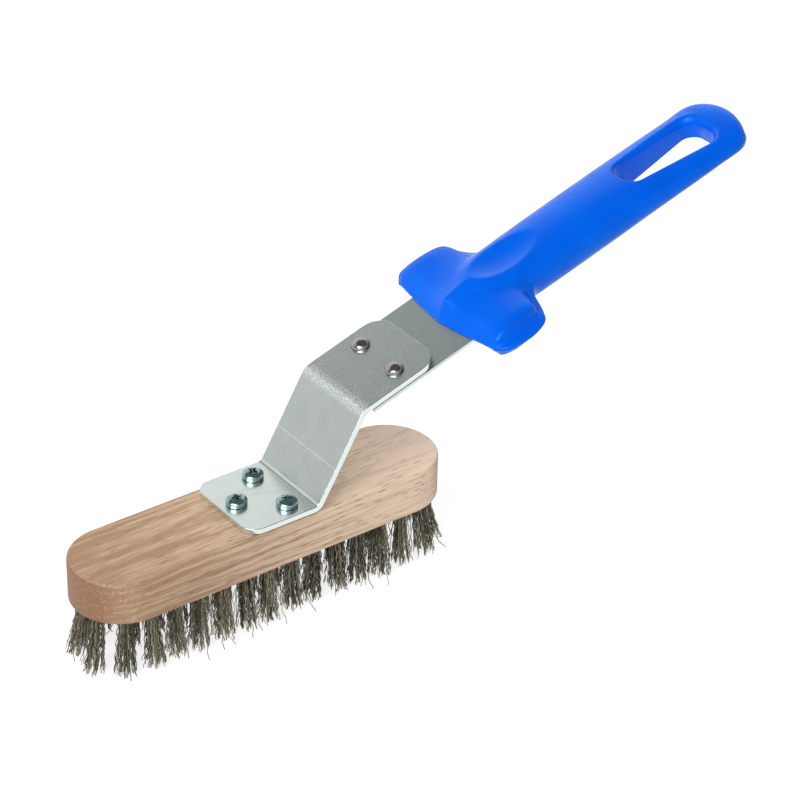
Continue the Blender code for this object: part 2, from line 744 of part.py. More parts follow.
def rounded_slot(blank):
    """Mesh of the slotted handle with the slot's rims rounded over."""
    bpy.context.view_layer.update()
    graph = bpy.context.evaluated_depsgraph_get()
    bm = bmesh.new()
    bm.from_mesh(blank.evaluated_get(graph).to_mesh())
    low = slot_start - SLOT_RIM_ROUND
    high = slot_start + SLOT_LENGTH + SLOT_RIM_ROUND
    rim = []
    for edge in bm.edges:
        middle = (edge.verts[0].co + edge.verts[1].co) / 2
        in_slot = low < middle.x < high and abs(middle.y) < SLOT_END_HALF + SLOT_RIM_ROUND
        if in_slot and len(edge.link_faces) == 2 and edge.calc_face_angle() > SLOT_RIM_ANGLE:
            rim.append(edge)
    bevel_edges(bm, rim, SLOT_RIM_ROUND, SLOT_RIM_STEPS)
    bmesh.ops.remove_doubles(bm, verts=bm.verts[:], dist=MERGE_DISTANCE)
    return bm


def scoop_cutter(parent):
    """Ellipsoid that leaves a thumb rest of the named length, width and depth on the grip."""
    middle = (SCOOP_START + SCOOP_LENGTH / 2) / HANDLE_LENGTH
    width, rise, _ = blend_rows(GRIP_SHARES, middle)
    top = rise * GRIP_RISE
    fall = top * (1 - (1 - (SCOOP_WIDTH / 2 / (width * GRIP_HALF_WIDTH)) ** 2) ** 0.5)
    tool = SCOOP_TOOL_HALF_HEIGHT
    centre = top - SCOOP_DEPTH + tool
    long_share = (1 - ((centre - top) / tool) ** 2) ** 0.5
    wide_share = (1 - ((centre - top + fall) / tool) ** 2) ** 0.5
    bm = bmesh.new()
    bmesh.ops.create_uvsphere(bm, u_segments=24, v_segments=16, radius=1)
    half_length = SCOOP_LENGTH / 2 / long_share
    half_width = SCOOP_WIDTH / 2 / wide_share
    bmesh.ops.scale(bm, verts=bm.verts[:], vec=(half_length, half_width, tool))
    start = guard_front + SCOOP_START + SCOOP_LENGTH / 2
    bmesh.ops.translate(bm, verts=bm.verts[:], vec=(start, 0, centre))
    return new_cutter("scoop_tool", bm, parent)


def slot_cutter(parent):
    """Long hang slot through the handle, wider toward the end and drafted to both faces."""
    start = slot_start
    end = slot_start + SLOT_LENGTH
    corners = (
        (start, -SLOT_START_HALF), (end, -SLOT_END_HALF),
        (end, SLOT_END_HALF), (start, SLOT_START_HALF),
    )
    radii = (SLOT_START_RADIUS, SLOT_END_RADIUS, SLOT_END_RADIUS, SLOT_START_RADIUS)
    outline = rounded_outline(corners, radii, SLOT_CORNER_STEPS)
    reach = GRIP_RISE + CUT_OVERRUN
    bm = extruded_outline(outline, 0, reach)
    floor = [face for face in bm.faces if face.normal.z < -0.5]
    lowered = bmesh.ops.extrude_face_region(bm, geom=floor)
    down = [item for item in lowered["geom"] if isinstance(item, bmesh.types.BMVert)]
    bmesh.ops.translate(bm, verts=down, vec=(0, 0, -reach))
    bmesh.ops.delete(bm, geom=floor, context="FACES_ONLY")
    middle = (start + end) / 2
    for vert in bm.verts:
        if abs(vert.co.z) > reach / 2:
            vert.co.x = middle + (vert.co.x - middle) * SLOT_DRAFT_SHARE
            vert.co.y *= SLOT_DRAFT_SHARE
    return new_cutter("slot_tool", bm, parent)


def centre_on_origin(parts, empty):
    """Move the empty that carries every part, so that the brush's bottom centre is the origin."""
    bpy.context.view_layer.update()
    graph = bpy.context.evaluated_depsgraph_get()
    corners = []
    for part in parts:
        evaluated = part.evaluated_get(graph)
        corners += [evaluated.matrix_world @ Vector(corner) for corner in evaluated.bound_box]
    low = Vector([min(corner[axis] for corner in corners) for axis in range(3)])
    high = Vector([max(corner[axis] for corner in corners) for axis in range(3)])
    empty.location -= Vector(((low.x + high.x) / 2, (low.y + high.y) / 2, low.z))
    bpy.context.view_layer.update()


clear_scene()
brush = new_collection("grill_brush")
cutters = new_collection("cutters")

stand = bpy.data.objects.new("stand", None)
brush.objects.link(stand)
_, plate_corner = bracket_outline()
handle_axis = bpy.data.objects.new("handle_axis", None)
brush.objects.link(handle_axis)
handle_axis.parent = stand
handle_axis.rotation_euler = (0, -HANDLE_ANGLE, 0)
plate_normal = Vector((-math.sin(HANDLE_ANGLE), math.cos(HANDLE_ANGLE)))
axis_place = plate_corner + plate_normal * blade_middle
handle_axis.location = (axis_place.x, 0, axis_place.y)

screw_places = {
    "screw_left": (SCREW_BACK_X, SCREW_BACK_SPREAD),
    "screw_right": (SCREW_BACK_X, -SCREW_BACK_SPREAD),
    "screw_front": (SCREW_FRONT_X, 0),
}
rivet_places = {
    "rivet_left": (PLATE_LENGTH - RIVET_END_MARGIN, RIVET_SPREAD),
    "rivet_right": (PLATE_LENGTH - RIVET_END_MARGIN, -RIVET_SPREAD),
}

ring_tufts, row_tufts = tuft_places()
hole_radius = (TUFT_ROOT_RADIUS + SEAT_GAP) / math.cos(math.pi / TUFT_HOLE_SIDES)
tuft_holes = drilled_holes(
    "tuft_hole_tool", stand, [place for place, _ in ring_tufts + row_tufts], hole_radius,
    block_bottom - CUT_OVERRUN, block_bottom + TUFT_ROOT_DEPTH + SEAT_GAP, TUFT_HOLE_SIDES,
)
shank_hole_radius = SCREW_SHANK_RADIUS + SHANK_GAP
screw_bottom = foot_top + SEAT_GAP - SCREW_LENGTH - SEAT_GAP
screw_holes = drilled_holes(
    "screw_hole_tool", stand, list(screw_places.values()), shank_hole_radius,
    screw_bottom, foot_top + CUT_OVERRUN, TURNED_STEPS,
)
rivet_hole_radius = RIVET_SHANK_RADIUS + SHANK_GAP
rivet_holes = drilled_holes(
    "rivet_hole_tool", handle_axis, list(rivet_places.values()), rivet_hole_radius,
    -BLADE_THICKNESS - CUT_OVERRUN, -blade_middle + CUT_OVERRUN, TURNED_STEPS,
)
pocket_level = BLADE_THICKNESS / 2 + SEAT_GAP
blade_pocket = new_cutter(
    "blade_pocket_tool", extruded_outline(blade_outline(SEAT_GAP), -pocket_level, pocket_level),
    handle_axis,
)

block = build_block(brush, stand, tuft_holes)
cut(block, screw_holes)
build_bracket(brush, stand, screw_holes, rivet_holes)
build_screws(brush, stand)
build_rivets(brush, handle_axis)
build_blade(brush, handle_axis, rivet_holes)
build_handle(brush, handle_axis, blade_pocket)

wire = new_material("crimped_wire", (0.16, 0.15, 0.12), 0.45, 0.9)
for number, (place, outward) in enumerate(ring_tufts, start=1):
    build_tuft(f"ring_tuft_{number:02d}", place, outward, number, wire, brush, stand)
for number, (place, outward) in enumerate(row_tufts, start=1):
    seed = len(ring_tufts) + number
    build_tuft(f"middle_tuft_{number:02d}", place, outward, seed, wire, brush, stand)

centre_on_origin([item for item in brush.objects if item.type == "MESH"], stand)
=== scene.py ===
import math
import random

import bmesh
import bpy
from mathutils import Matrix, Vector


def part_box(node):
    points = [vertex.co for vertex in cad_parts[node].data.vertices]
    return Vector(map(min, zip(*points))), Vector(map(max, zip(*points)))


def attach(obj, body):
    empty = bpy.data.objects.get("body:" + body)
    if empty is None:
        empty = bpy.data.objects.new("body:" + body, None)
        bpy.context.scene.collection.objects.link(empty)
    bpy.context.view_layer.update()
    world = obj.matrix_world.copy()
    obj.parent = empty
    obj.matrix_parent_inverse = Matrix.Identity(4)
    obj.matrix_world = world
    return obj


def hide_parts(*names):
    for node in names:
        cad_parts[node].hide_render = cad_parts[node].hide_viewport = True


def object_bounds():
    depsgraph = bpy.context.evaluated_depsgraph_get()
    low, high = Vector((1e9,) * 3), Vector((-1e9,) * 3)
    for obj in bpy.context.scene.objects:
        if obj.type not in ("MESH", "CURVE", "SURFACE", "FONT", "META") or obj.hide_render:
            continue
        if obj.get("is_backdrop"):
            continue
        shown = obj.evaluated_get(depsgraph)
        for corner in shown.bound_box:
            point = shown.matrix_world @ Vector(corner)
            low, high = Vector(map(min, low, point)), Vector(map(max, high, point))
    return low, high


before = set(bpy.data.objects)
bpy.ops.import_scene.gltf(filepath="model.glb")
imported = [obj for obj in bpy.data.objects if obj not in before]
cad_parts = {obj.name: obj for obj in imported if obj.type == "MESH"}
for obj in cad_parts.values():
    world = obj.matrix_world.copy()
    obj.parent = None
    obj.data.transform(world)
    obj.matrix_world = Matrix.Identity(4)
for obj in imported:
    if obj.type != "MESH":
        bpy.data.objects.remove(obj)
cad_low, cad_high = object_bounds()

# Camera: it looks down on the block's free end with a long lens. Its angles, distance and lens
# repeat the photograph's perspective, counted from the middle of the block's top.
VIEW_AZIMUTH = math.radians(37.19)
VIEW_ELEVATION = math.radians(32.19)
VIEW_ROLL = math.radians(1.31)
VIEW_DISTANCE = 1.17469
VIEW_RIGHT = 0.05618
VIEW_UP = 0.03996
VIEW_LENS = 134.26
VIEW_SENSOR = 36.0
VIEW_FAR = 20.0


def new_object(name, data):
    """Object with some data, linked to the scene."""
    made = bpy.data.objects.new(name, data)
    bpy.context.scene.collection.objects.link(made)
    return made


block_low, block_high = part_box("beech_block")
block_middle = Vector(((block_low.x + block_high.x) / 2, 0, block_high.z))
view_back = Vector((
    -math.sin(VIEW_AZIMUTH) * math.cos(VIEW_ELEVATION),
    -math.cos(VIEW_AZIMUTH) * math.cos(VIEW_ELEVATION),
    math.sin(VIEW_ELEVATION),
))
level_right = Vector((math.cos(VIEW_AZIMUTH), -math.sin(VIEW_AZIMUTH), 0))
level_up = view_back.cross(level_right)
view_right = level_right * math.cos(VIEW_ROLL) + level_up * math.sin(VIEW_ROLL)
view_up = level_up * math.cos(VIEW_ROLL) - level_right * math.sin(VIEW_ROLL)
camera_place = (
    block_middle + view_back * VIEW_DISTANCE + view_right * VIEW_RIGHT + view_up * VIEW_UP
)
camera = new_object("camera", bpy.data.cameras.new("camera"))
camera.data.lens = VIEW_LENS
camera.data.sensor_width = VIEW_SENSOR
camera.data.clip_end = VIEW_FAR
turn = Matrix((view_right, view_up, view_back)).transposed().to_4x4()
camera.matrix_world = Matrix.Translation(camera_place) @ turn
bpy.context.scene.camera = camera
bpy.context.scene.view_settings.view_transform = "Standard"

# Studio: a white floor that runs out of sight, a white surround and two softboxes. Camera rays see
# white. Mirror rays see the surround darker overhead and at both sides, as if dark cards hung
# there, and scattered light gets it without the side cards. The floor keeps a soft shadow.
FLOOR_HALF = 6.0
FLOOR_WHITE = (0.80, 0.80, 0.80, 1)
FLOOR_SHOWN = (0.30, 0.30, 0.30, 1)
FLOOR_GLOW = 0.80
CEILING_BAND = (0.57, 0.765)
CEILING_LEVEL = 0.17
LEFT_BAND = (-0.8, -0.45)
LEFT_SHARE = 0.58
RIGHT_WAY = (0.77, -0.64, 0)
RIGHT_BAND = (0.25, 0.8)
RIGHT_SHARE = 0.60
SCATTER_SHARE = 0.68
LAMP_AIM = Vector((0, 0, 0.05))


def add_node(tree, kind, sockets, **settings):
    """New shader node with its settings, its sockets given values or linked."""
    made = tree.nodes.new(kind)
    for name, value in settings.items():
        setattr(made, name, value)
    for key, value in sockets.items():
        if isinstance(value, bpy.types.NodeSocket):
            tree.links.new(value, made.inputs[key])
        else:
            made.inputs[key].default_value = value
    return made


def add_math(tree, operation, first, second=0.0, clamp=False):
    """Result of one sum on two numbers or sockets."""
    made = add_node(tree, "ShaderNodeMath", {0: first, 1: second}, operation=operation)
    made.use_clamp = clamp
    return made.outputs[0]


def times(tree, first, second):
    """Product of two numbers or sockets."""
    return add_math(tree, "MULTIPLY", first, second)


def add_range(tree, value, low, high, to_low=0.0, to_high=1.0):
    """Value carried smoothly from one range to another, held at its ends."""
    sockets = {"Value": value, "From Min": low, "From Max": high, "To Min": to_low, "To Max": to_high}
    made = add_node(tree, "ShaderNodeMapRange", sockets, interpolation_type="SMOOTHSTEP", clamp=True)
    return made.outputs["Result"]


def dot_with(tree, place, way):
    """How far each place reaches along a way."""
    sockets = {0: place, 1: way}
    return add_node(tree, "ShaderNodeVectorMath", sockets, operation="DOT_PRODUCT").outputs["Value"]


def clean_tree(holder):
    """Node tree of a material or world with nothing in it but its output."""
    holder.use_nodes = True
    tree = holder.node_tree
    tree.nodes.clear()
    kind = "World" if isinstance(holder, bpy.types.World) else "Material"
    tree.nodes.new("ShaderNodeOutput" + kind)
    return tree


def show(tree, shader):
    """Link a shader to the output of its tree."""
    tree.links.new(shader.outputs[0], tree.get_output_node("ALL").inputs["Surface"])


def studio_floor_material():
    """White floor: plain where it lights the brush, glowing white where it is seen."""
    material = bpy.data.materials.new("studio_floor")
    tree = clean_tree(material)
    path = tree.nodes.new("ShaderNodeLightPath").outputs
    seen = add_math(tree, "ADD", path["Is Camera Ray"], path["Is Glossy Ray"])
    seen = add_math(tree, "ADD", seen, path["Is Transmission Ray"], clamp=True)
    lit = add_node(tree, "ShaderNodeBsdfDiffuse", {"Color": FLOOR_WHITE})
    shown = add_node(tree, "ShaderNodeBsdfDiffuse", {"Color": FLOOR_SHOWN})
    glow = add_node(tree, "ShaderNodeEmission", {"Strength": FLOOR_GLOW})
    white = add_node(tree, "ShaderNodeAddShader", {0: shown.outputs[0], 1: glow.outputs[0]})
    sockets = {0: seen, 1: lit.outputs[0], 2: white.outputs[0]}
    show(tree, add_node(tree, "ShaderNodeMixShader", sockets))
    return material


def mesh_from(name, bm):
    """Mesh made from a bmesh, which is then freed."""
    mesh = bpy.data.meshes.new(name)
    bm.to_mesh(mesh)
    bm.free()
    return mesh


bm = bmesh.new()
bmesh.ops.create_grid(bm, x_segments=1, y_segments=1, size=FLOOR_HALF)
floor = new_object("studio_floor", mesh_from("studio_floor", bm))
floor.data.materials.append(studio_floor_material())
floor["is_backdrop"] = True

world = bpy.data.worlds.new("studio_surround")
bpy.context.scene.world = world
tree = clean_tree(world)
direction = add_node(tree, "ShaderNodeTexCoord", {}).outputs["Generated"]
facing = add_node(tree, "ShaderNodeSeparateXYZ", {0: direction}).outputs
plain = add_range(tree, facing["Z"], *CEILING_BAND, 1.0, CEILING_LEVEL)
left = add_range(tree, facing["X"], *LEFT_BAND, -LEFT_SHARE, 0.0)
right = add_range(tree, dot_with(tree, direction, RIGHT_WAY), *RIGHT_BAND, 1.0, 1 - RIGHT_SHARE)
shaped = times(tree, add_math(tree, "ADD", plain, left, clamp=True), right)
scattered = tree.nodes.new("ShaderNodeLightPath").outputs["Is Diffuse Ray"]
sockets = {0: scattered, 2: shaped, 3: times(tree, plain, SCATTER_SHARE)}
level = add_node(tree, "ShaderNodeMix", sockets, data_type="FLOAT").outputs[0]
dim = add_node(tree, "ShaderNodeBackground", {"Color": (1, 1, 1, 1), "Strength": level})
bright = add_node(tree, "ShaderNodeBackground", {"Color": (1, 1, 1, 1), "Strength": 1.0})
camera_ray = tree.nodes.new("ShaderNodeLightPath").outputs["Is Camera Ray"]
sockets = {0: camera_ray, 1: dim.outputs[0], 2: bright.outputs[0]}
show(tree, add_node(tree, "ShaderNodeMixShader", sockets))


def add_softbox(name, place, size, power, mirrored):
    """Square softbox at a place, turned to the middle of the brush, mirrored in it or not."""
    light = bpy.data.lights.new(name, "AREA")
    light.size = size
    light.energy = power
    lamp = new_object(name, light)
    lamp.visible_glossy = mirrored
    lamp.location = place
    lamp.rotation_euler = (LAMP_AIM - Vector(place)).to_track_quat("-Z", "Y").to_euler()


add_softbox("key_softbox", place=(-1.15, -0.45, 1.1), size=1.1, power=24.0, mirrored=True)
add_softbox("back_softbox", place=(1.0, 1.1, 0.9), size=0.9, power=14.0, mirrored=False)

# Beech block: a plank with half round ends. Its top edge is rounded over, the bottom edge is
# only eased, and the underside is drilled for the tufts. The wood is bare, with its pores open.
BLOCK_TOP_ROUND = 0.0012
BLOCK_BOTTOM_ROUND = 0.0006
BLOCK_END_STEPS = 96
TUFT_HOLE_RADIUS = 0.0029
TUFT_HOLE_DEPTH = 0.003
TUFT_HOLE_STEPS = 16
BEECH_LIGHT = (0.78, 0.59, 0.43, 1)
BEECH_DARK = (0.34, 0.205, 0.115, 1)
BEECH_END = (0.20, 0.09, 0.045, 1)
BEECH_PORE = (0.22, 0.10, 0.05, 1)
HEART_OFFSET = (0, 0.035, 0.06)
DRIFT_SCALE = (9, 70, 70)
DRIFT_REACH = (0.012, 0.012, 0.012)
RING_SCALE = 95.0
FIBRE_SCALE = (60, 1500, 1500)
PORE_SCALE = (100, 1000, 1000)
# Painted shade along the plank: share of the dark tone at the block's left end and at its right end.
PAINTED_SHADE_ALONG = (0.62, -0.36)
SAME_PLACE = 1e-6
TIP_BAND = 0.0001

ring_tufts = sorted(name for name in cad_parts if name.startswith("ring_tuft"))
middle_tufts = sorted(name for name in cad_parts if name.startswith("middle_tuft"))


def tuft_root_and_tip(name):
    """Middle of a tuft at the block's underside, and middle of its tips."""
    points = [vert.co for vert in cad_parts[name].data.vertices]
    top = max(point.z for point in points)
    roots = [point for point in points if point.z > top - TIP_BAND]
    tips = [point for point in points if point.z < TIP_BAND]
    root = sum(roots, Vector()) / len(roots)
    root.z = block_low.z
    return root, sum(tips, Vector()) / len(tips)


def round_off(bm, geom, width, segments, affect="EDGES"):
    """Round the given edges or corners of a bmesh."""
    bmesh.ops.bevel(
        bm, geom=geom, offset=width, segments=segments, profile=0.5, affect=affect, material=-1,
        clamp_overlap=True,
    )


def finished_piece(name, bm, material, sharp_angle=math.radians(35)):
    """Object made from a bmesh, smooth but for edges over the angle."""
    bmesh.ops.recalc_face_normals(bm, faces=bm.faces[:])
    mesh = mesh_from(name, bm)
    mesh.shade_smooth()
    if sharp_angle:
        mesh.set_sharp_from_angle(angle=sharp_angle)
    mesh.materials.append(material)
    return new_object(name, mesh)


def resulting_mesh(item):
    """Mesh that an object's curve or modifiers give."""
    bpy.context.view_layer.update()
    graph = bpy.context.evaluated_depsgraph_get()
    return bpy.data.meshes.new_from_object(item.evaluated_get(graph))


def keep_modifiers(piece):
    """Make what the piece's modifiers give its own mesh."""
    old = piece.data
    piece.data = resulting_mesh(piece)
    piece.data.name = piece.name
    piece.modifiers.clear()
    bpy.data.meshes.remove(old)


def carve(piece, bm, crossing=False):
    """Cut a bmesh out of a piece for good; crossing says that the bmesh runs through itself."""
    cutter = new_object("cutter", mesh_from("cutter", bm))
    modifier = piece.modifiers.new("carve", "BOOLEAN")
    modifier.solver = "EXACT"
    modifier.use_self = crossing
    modifier.object = cutter
    keep_modifiers(piece)
    bpy.data.objects.remove(cutter)


def add_mix(tree, share, first, second):
    """Mix of two colours by a share."""
    sockets = {0: share, 6: first, 7: second}
    return add_node(tree, "ShaderNodeMix", sockets, data_type="RGBA").outputs[2]


def add_noise(tree, place, scale, detail):
    """Cloudy noise over the places, as its node's outputs."""
    sockets = {"Vector": place, "Scale": scale, "Detail": detail}
    return add_node(tree, "ShaderNodeTexNoise", sockets).outputs


def stretch(tree, place, scale):
    """Places scaled apart on each axis, so that a pattern over them is drawn out."""
    return add_node(tree, "ShaderNodeMapping", {0: place, "Scale": scale}).outputs[0]


def start_material(name):
    """New material, with its node tree and each point's place on the brush."""
    material = bpy.data.materials.new(name)
    tree = clean_tree(material)
    return material, tree, tree.nodes.new("ShaderNodeTexCoord").outputs["Object"]


def add_surface(tree, colour, rough, metallic=0.0, relief=None, shine=()):
    """Surface shader on the tree's output; relief is a height, its distance and its strength."""
    sockets = {"Base Color": colour, "Roughness": rough, "Metallic": metallic, **dict(shine)}
    if relief:
        height, distance, strength = relief
        bump = {"Height": height, "Distance": distance, "Strength": strength}
        sockets["Normal"] = add_node(tree, "ShaderNodeBump", bump).outputs[0]
    show(tree, add_node(tree, "ShaderNodeBsdfPrincipled", sockets))


def beech_material():
    """Bare beech: growth bands along the plank, short dark pores, browner end grain, and painted shade
    that darkens the wood towards the block's left end.
    """
    material, tree, place = start_material("beech")
    heart = add_node(tree, "ShaderNodeMapping", {0: place, "Location": HEART_OFFSET}).outputs[0]
    drift = add_noise(tree, stretch(tree, place, DRIFT_SCALE), scale=1.0, detail=3.0)["Color"]
    sockets = {0: drift, 1: DRIFT_REACH}
    shift = add_node(tree, "ShaderNodeVectorMath", sockets, operation="MULTIPLY").outputs[0]
    bent = add_node(tree, "ShaderNodeVectorMath", {0: heart, 1: shift}, operation="ADD").outputs[0]
    rings = add_node(
        tree, "ShaderNodeTexWave",
        {"Vector": bent, "Scale": RING_SCALE, "Distortion": 1.2, "Detail": 2.0, "Detail Scale": 1.5},
        wave_type="RINGS", rings_direction="X", wave_profile="SIN",
    )
    fibre = add_noise(tree, stretch(tree, place, FIBRE_SCALE), scale=1.0, detail=4.0)["Fac"]
    cells = stretch(tree, place, PORE_SCALE)
    pores = add_node(tree, "ShaderNodeTexVoronoi", {"Vector": cells, "Scale": 1.0})
    hole = add_range(tree, pores.outputs["Distance"], 0.14, 0.30, 1.0, 0.0)
    pick = add_node(tree, "ShaderNodeSeparateColor", {0: pores.outputs["Color"]}).outputs[0]
    hole = times(tree, hole, add_range(tree, pick, 0.25, 0.5))
    share = times(tree, rings.outputs["Fac"], 0.28)
    share = add_math(tree, "ADD", share, add_range(tree, fibre, 0.3, 0.75, 0.0, 0.5))
    # Painted shade: the wood is darkened towards the block's left end and lightened towards its right
    # end, as if the light fell off to the left.
    run = add_node(tree, "ShaderNodeSeparateXYZ", {0: place}).outputs["X"]
    run = add_range(tree, run, block_low.x, block_high.x, *PAINTED_SHADE_ALONG)
    share = add_math(tree, "ADD", share, run)
    colour = add_mix(tree, share, BEECH_LIGHT, BEECH_DARK)
    normal = tree.nodes.new("ShaderNodeTexCoord").outputs["Normal"]
    along = add_node(tree, "ShaderNodeSeparateXYZ", {0: normal}).outputs["X"]
    end = add_range(tree, add_math(tree, "ABSOLUTE", along), 0.35, 0.95)
    spots = add_noise(tree, place, scale=900.0, detail=2.0)["Fac"]
    end = times(tree, end, add_range(tree, spots, 0.35, 0.65, 0.70, 1.0))
    colour = add_mix(tree, end, colour, BEECH_END)
    colour = add_mix(tree, times(tree, hole, 0.75), colour, BEECH_PORE)
    depth = times(tree, hole, -1.0)
    depth = add_math(tree, "ADD", depth, times(tree, fibre, 0.5))
    add_surface(tree, colour, rough=0.58, relief=(depth, 0.00006, 0.6))
    return material


bm = bmesh.new()
half_width = (block_high.y - block_low.y) / 2
half_step = Matrix.Rotation(math.pi / BLOCK_END_STEPS, 4, "Z")
bmesh.ops.create_circle(
    bm, cap_ends=True, segments=BLOCK_END_STEPS, radius=half_width, matrix=half_step
)
reach = (block_high.x - block_low.x) / 2 - half_width
for side in (-1, 1):
    verts = [vert for vert in bm.verts if vert.co.x * side > 0]
    bmesh.ops.translate(bm, verts=verts, vec=(side * reach, 0, 0))
bmesh.ops.translate(bm, verts=bm.verts[:], vec=(block_middle.x, 0, block_low.z))
plank = bmesh.ops.extrude_face_region(bm, geom=bm.faces[:])
lifted = [item for item in plank["geom"] if isinstance(item, bmesh.types.BMVert)]
bmesh.ops.translate(bm, verts=lifted, vec=(0, 0, block_high.z - block_low.z))
for level, width in ((block_high.z, BLOCK_TOP_ROUND), (block_low.z, BLOCK_BOTTOM_ROUND)):
    rim = [edge for edge in bm.edges if all(abs(vert.co.z - level) < SAME_PLACE for vert in edge.verts)]
    round_off(bm, rim, width, segments=4)
beech = finished_piece("beech_plank", bm, beech_material())
drill = bmesh.new()
for name in ring_tufts + middle_tufts:
    hole_middle = Matrix.Translation(tuft_root_and_tip(name)[0])
    bmesh.ops.create_cone(
        drill, cap_ends=True, segments=TUFT_HOLE_STEPS, radius1=TUFT_HOLE_RADIUS,
        radius2=TUFT_HOLE_RADIUS, depth=TUFT_HOLE_DEPTH * 2, matrix=hole_middle,
    )
carve(beech, drill)
beech.data.set_sharp_from_angle(angle=math.radians(35))
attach(beech, "root")
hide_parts("beech_block")

# Wire tufts: each is a bundle of crimped steel wires folded over and pulled into its hole. The
# wires gather in clumps that wave together and fan out, a few stray, and their ends are uneven.
WIRES_PER_TUFT = 80
CLUMPS_PER_TUFT = 11
CLUMP_SHARE = 0.5
WIRE_RADIUS = 0.00016
WIRE_STEPS = 22
WIRE_BOW = 0.0008
CRIMP_LENGTH = 0.0052
CRIMP_DEPTH = 0.00034
CRIMP_GROWTH = 6
PHASE_SPREAD = 0.6
PLANE_SPREAD = 0.5
BUNDLE_RADIUS = 0.0025
TIP_FAN_RADIUS = 0.0048
FAN_RANGE = (0.8, 1.15)
FAN_POWER = 1.3
TUFT_SWAY = 0.0012
TIP_UNEVEN = 0.0034
STRAY_SHARE = 0.06
STRAY_REACH = 0.012
STRAY_POWER = 2.2
SPIRAL_ANGLE = 2.39996
SPIRAL_SPREAD = 0.3
TINT_POWER = 1.2
WIRE_DARK = (0.022, 0.020, 0.013, 1)
WIRE_LIGHT = (0.57, 0.52, 0.37, 1)


def wire_material():
    """Tempered steel wire: dark olive to light grey, from wire to wire and along each."""
    material, tree, place = start_material("crimped_wire")
    tint = add_noise(tree, stretch(tree, place, (2600, 2600, 300)), scale=1.0, detail=2.0)["Fac"]
    own = add_node(tree, "ShaderNodeAttribute", {}, attribute_name="wire_tint").outputs["Fac"]
    share = times(tree, own, add_range(tree, tint, 0.3, 0.7, 0.45, 1.0))
    colour = add_mix(tree, share, WIRE_DARK, WIRE_LIGHT)
    rough = add_range(tree, tint, 0.3, 0.7, 0.5, 0.3)
    add_surface(tree, colour, rough, metallic=0.6)
    return material


def spiral_spot(index, count, shift):
    """Spot in a circle of radius 1, one of a count set evenly along a spiral."""
    share = math.sqrt((index + 0.5) / count)
    around = index * SPIRAL_ANGLE + shift
    return Vector((math.cos(around), math.sin(around), 0)) * share


def bend_wires(name, chance):
    """Points of every wire in a tuft, from inside the hole down to the cut tip."""
    root, tip = tuft_root_and_tip(name)
    lean = Vector((tip.x - root.x, tip.y - root.y, 0))
    lean += Vector((chance.uniform(-1, 1), chance.uniform(-1, 1), 0)) * TUFT_SWAY
    clumps = []
    for index in range(CLUMPS_PER_TUFT):
        middle = spiral_spot(index, CLUMPS_PER_TUFT, 0)
        clumps.append((middle, chance.uniform(0, math.tau), chance.uniform(0, math.tau)))
    wires = []
    for index in range(WIRES_PER_TUFT):
        spoke = spiral_spot(index, WIRES_PER_TUFT, chance.uniform(-SPIRAL_SPREAD, SPIRAL_SPREAD))
        middle, phase, plane = min(clumps, key=lambda clump: (clump[0] - spoke).length)
        phase += chance.uniform(-PHASE_SPREAD, PHASE_SPREAD)
        plane += chance.uniform(-PLANE_SPREAD, PLANE_SPREAD)
        wave = Vector((math.cos(plane), math.sin(plane), 0))
        fan = spoke.lerp(middle, CLUMP_SHARE) * TIP_FAN_RADIUS * chance.uniform(*FAN_RANGE)
        stray = spoke * STRAY_REACH * chance.random() if chance.random() < STRAY_SHARE else Vector()
        bow = Vector((chance.uniform(-1, 1), chance.uniform(-1, 1), 0)) * WIRE_BOW
        inside = root.z + TUFT_HOLE_DEPTH / 2
        length = inside - chance.random() ** 2 * TIP_UNEVEN
        points = []
        for step in range(WIRE_STEPS + 1):
            fall = step / WIRE_STEPS
            opening = fall ** FAN_POWER
            swing = math.sin(phase + math.tau * fall * length / CRIMP_LENGTH)
            point = root + lean * opening + bow * math.sin(math.pi * fall)
            point += stray * fall ** STRAY_POWER
            point += spoke * BUNDLE_RADIUS * (1 - opening) + fan * opening
            point += wave * (CRIMP_DEPTH * swing * min(1, fall * CRIMP_GROWTH))
            point.z = max(inside - length * fall, WIRE_RADIUS)
            point.x = min(max(point.x, cad_low.x + WIRE_RADIUS), cad_high.x - WIRE_RADIUS)
            points.append(point)
        wires.append(points)
    return wires


def build_tuft(name, number, material):
    """One tuft as round wires, each with a tint of its own."""
    curve = bpy.data.curves.new(name + "_wires", "CURVE")
    curve.dimensions = "3D"
    curve.bevel_depth = WIRE_RADIUS
    curve.bevel_resolution = 0
    curve.use_fill_caps = True
    chance = random.Random(number)
    for points in bend_wires(name, chance):
        spline = curve.splines.new("POLY")
        spline.points.add(len(points) - 1)
        spline.points.foreach_set("co", [value for point in points for value in (*point, 1)])
    holder = new_object(name + "_wires", curve)
    mesh = resulting_mesh(holder)
    bpy.data.objects.remove(holder)
    mesh.name = name + "_wires"
    own = mesh.attributes.new("wire_tint", "FLOAT", "POINT")
    shades = [chance.random() ** TINT_POWER for wire in range(WIRES_PER_TUFT)]
    each = len(mesh.vertices) // WIRES_PER_TUFT
    own.data.foreach_set("value", [shade for shade in shades for vertex in range(each)])
    mesh.shade_smooth()
    mesh.materials.clear()
    mesh.materials.append(material)
    tuft = new_object(name + "_wires", mesh)
    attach(tuft, "root")
    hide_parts(name)


wire = wire_material()
for number, name in enumerate(ring_tufts + middle_tufts):
    build_tuft(name, number, wire)
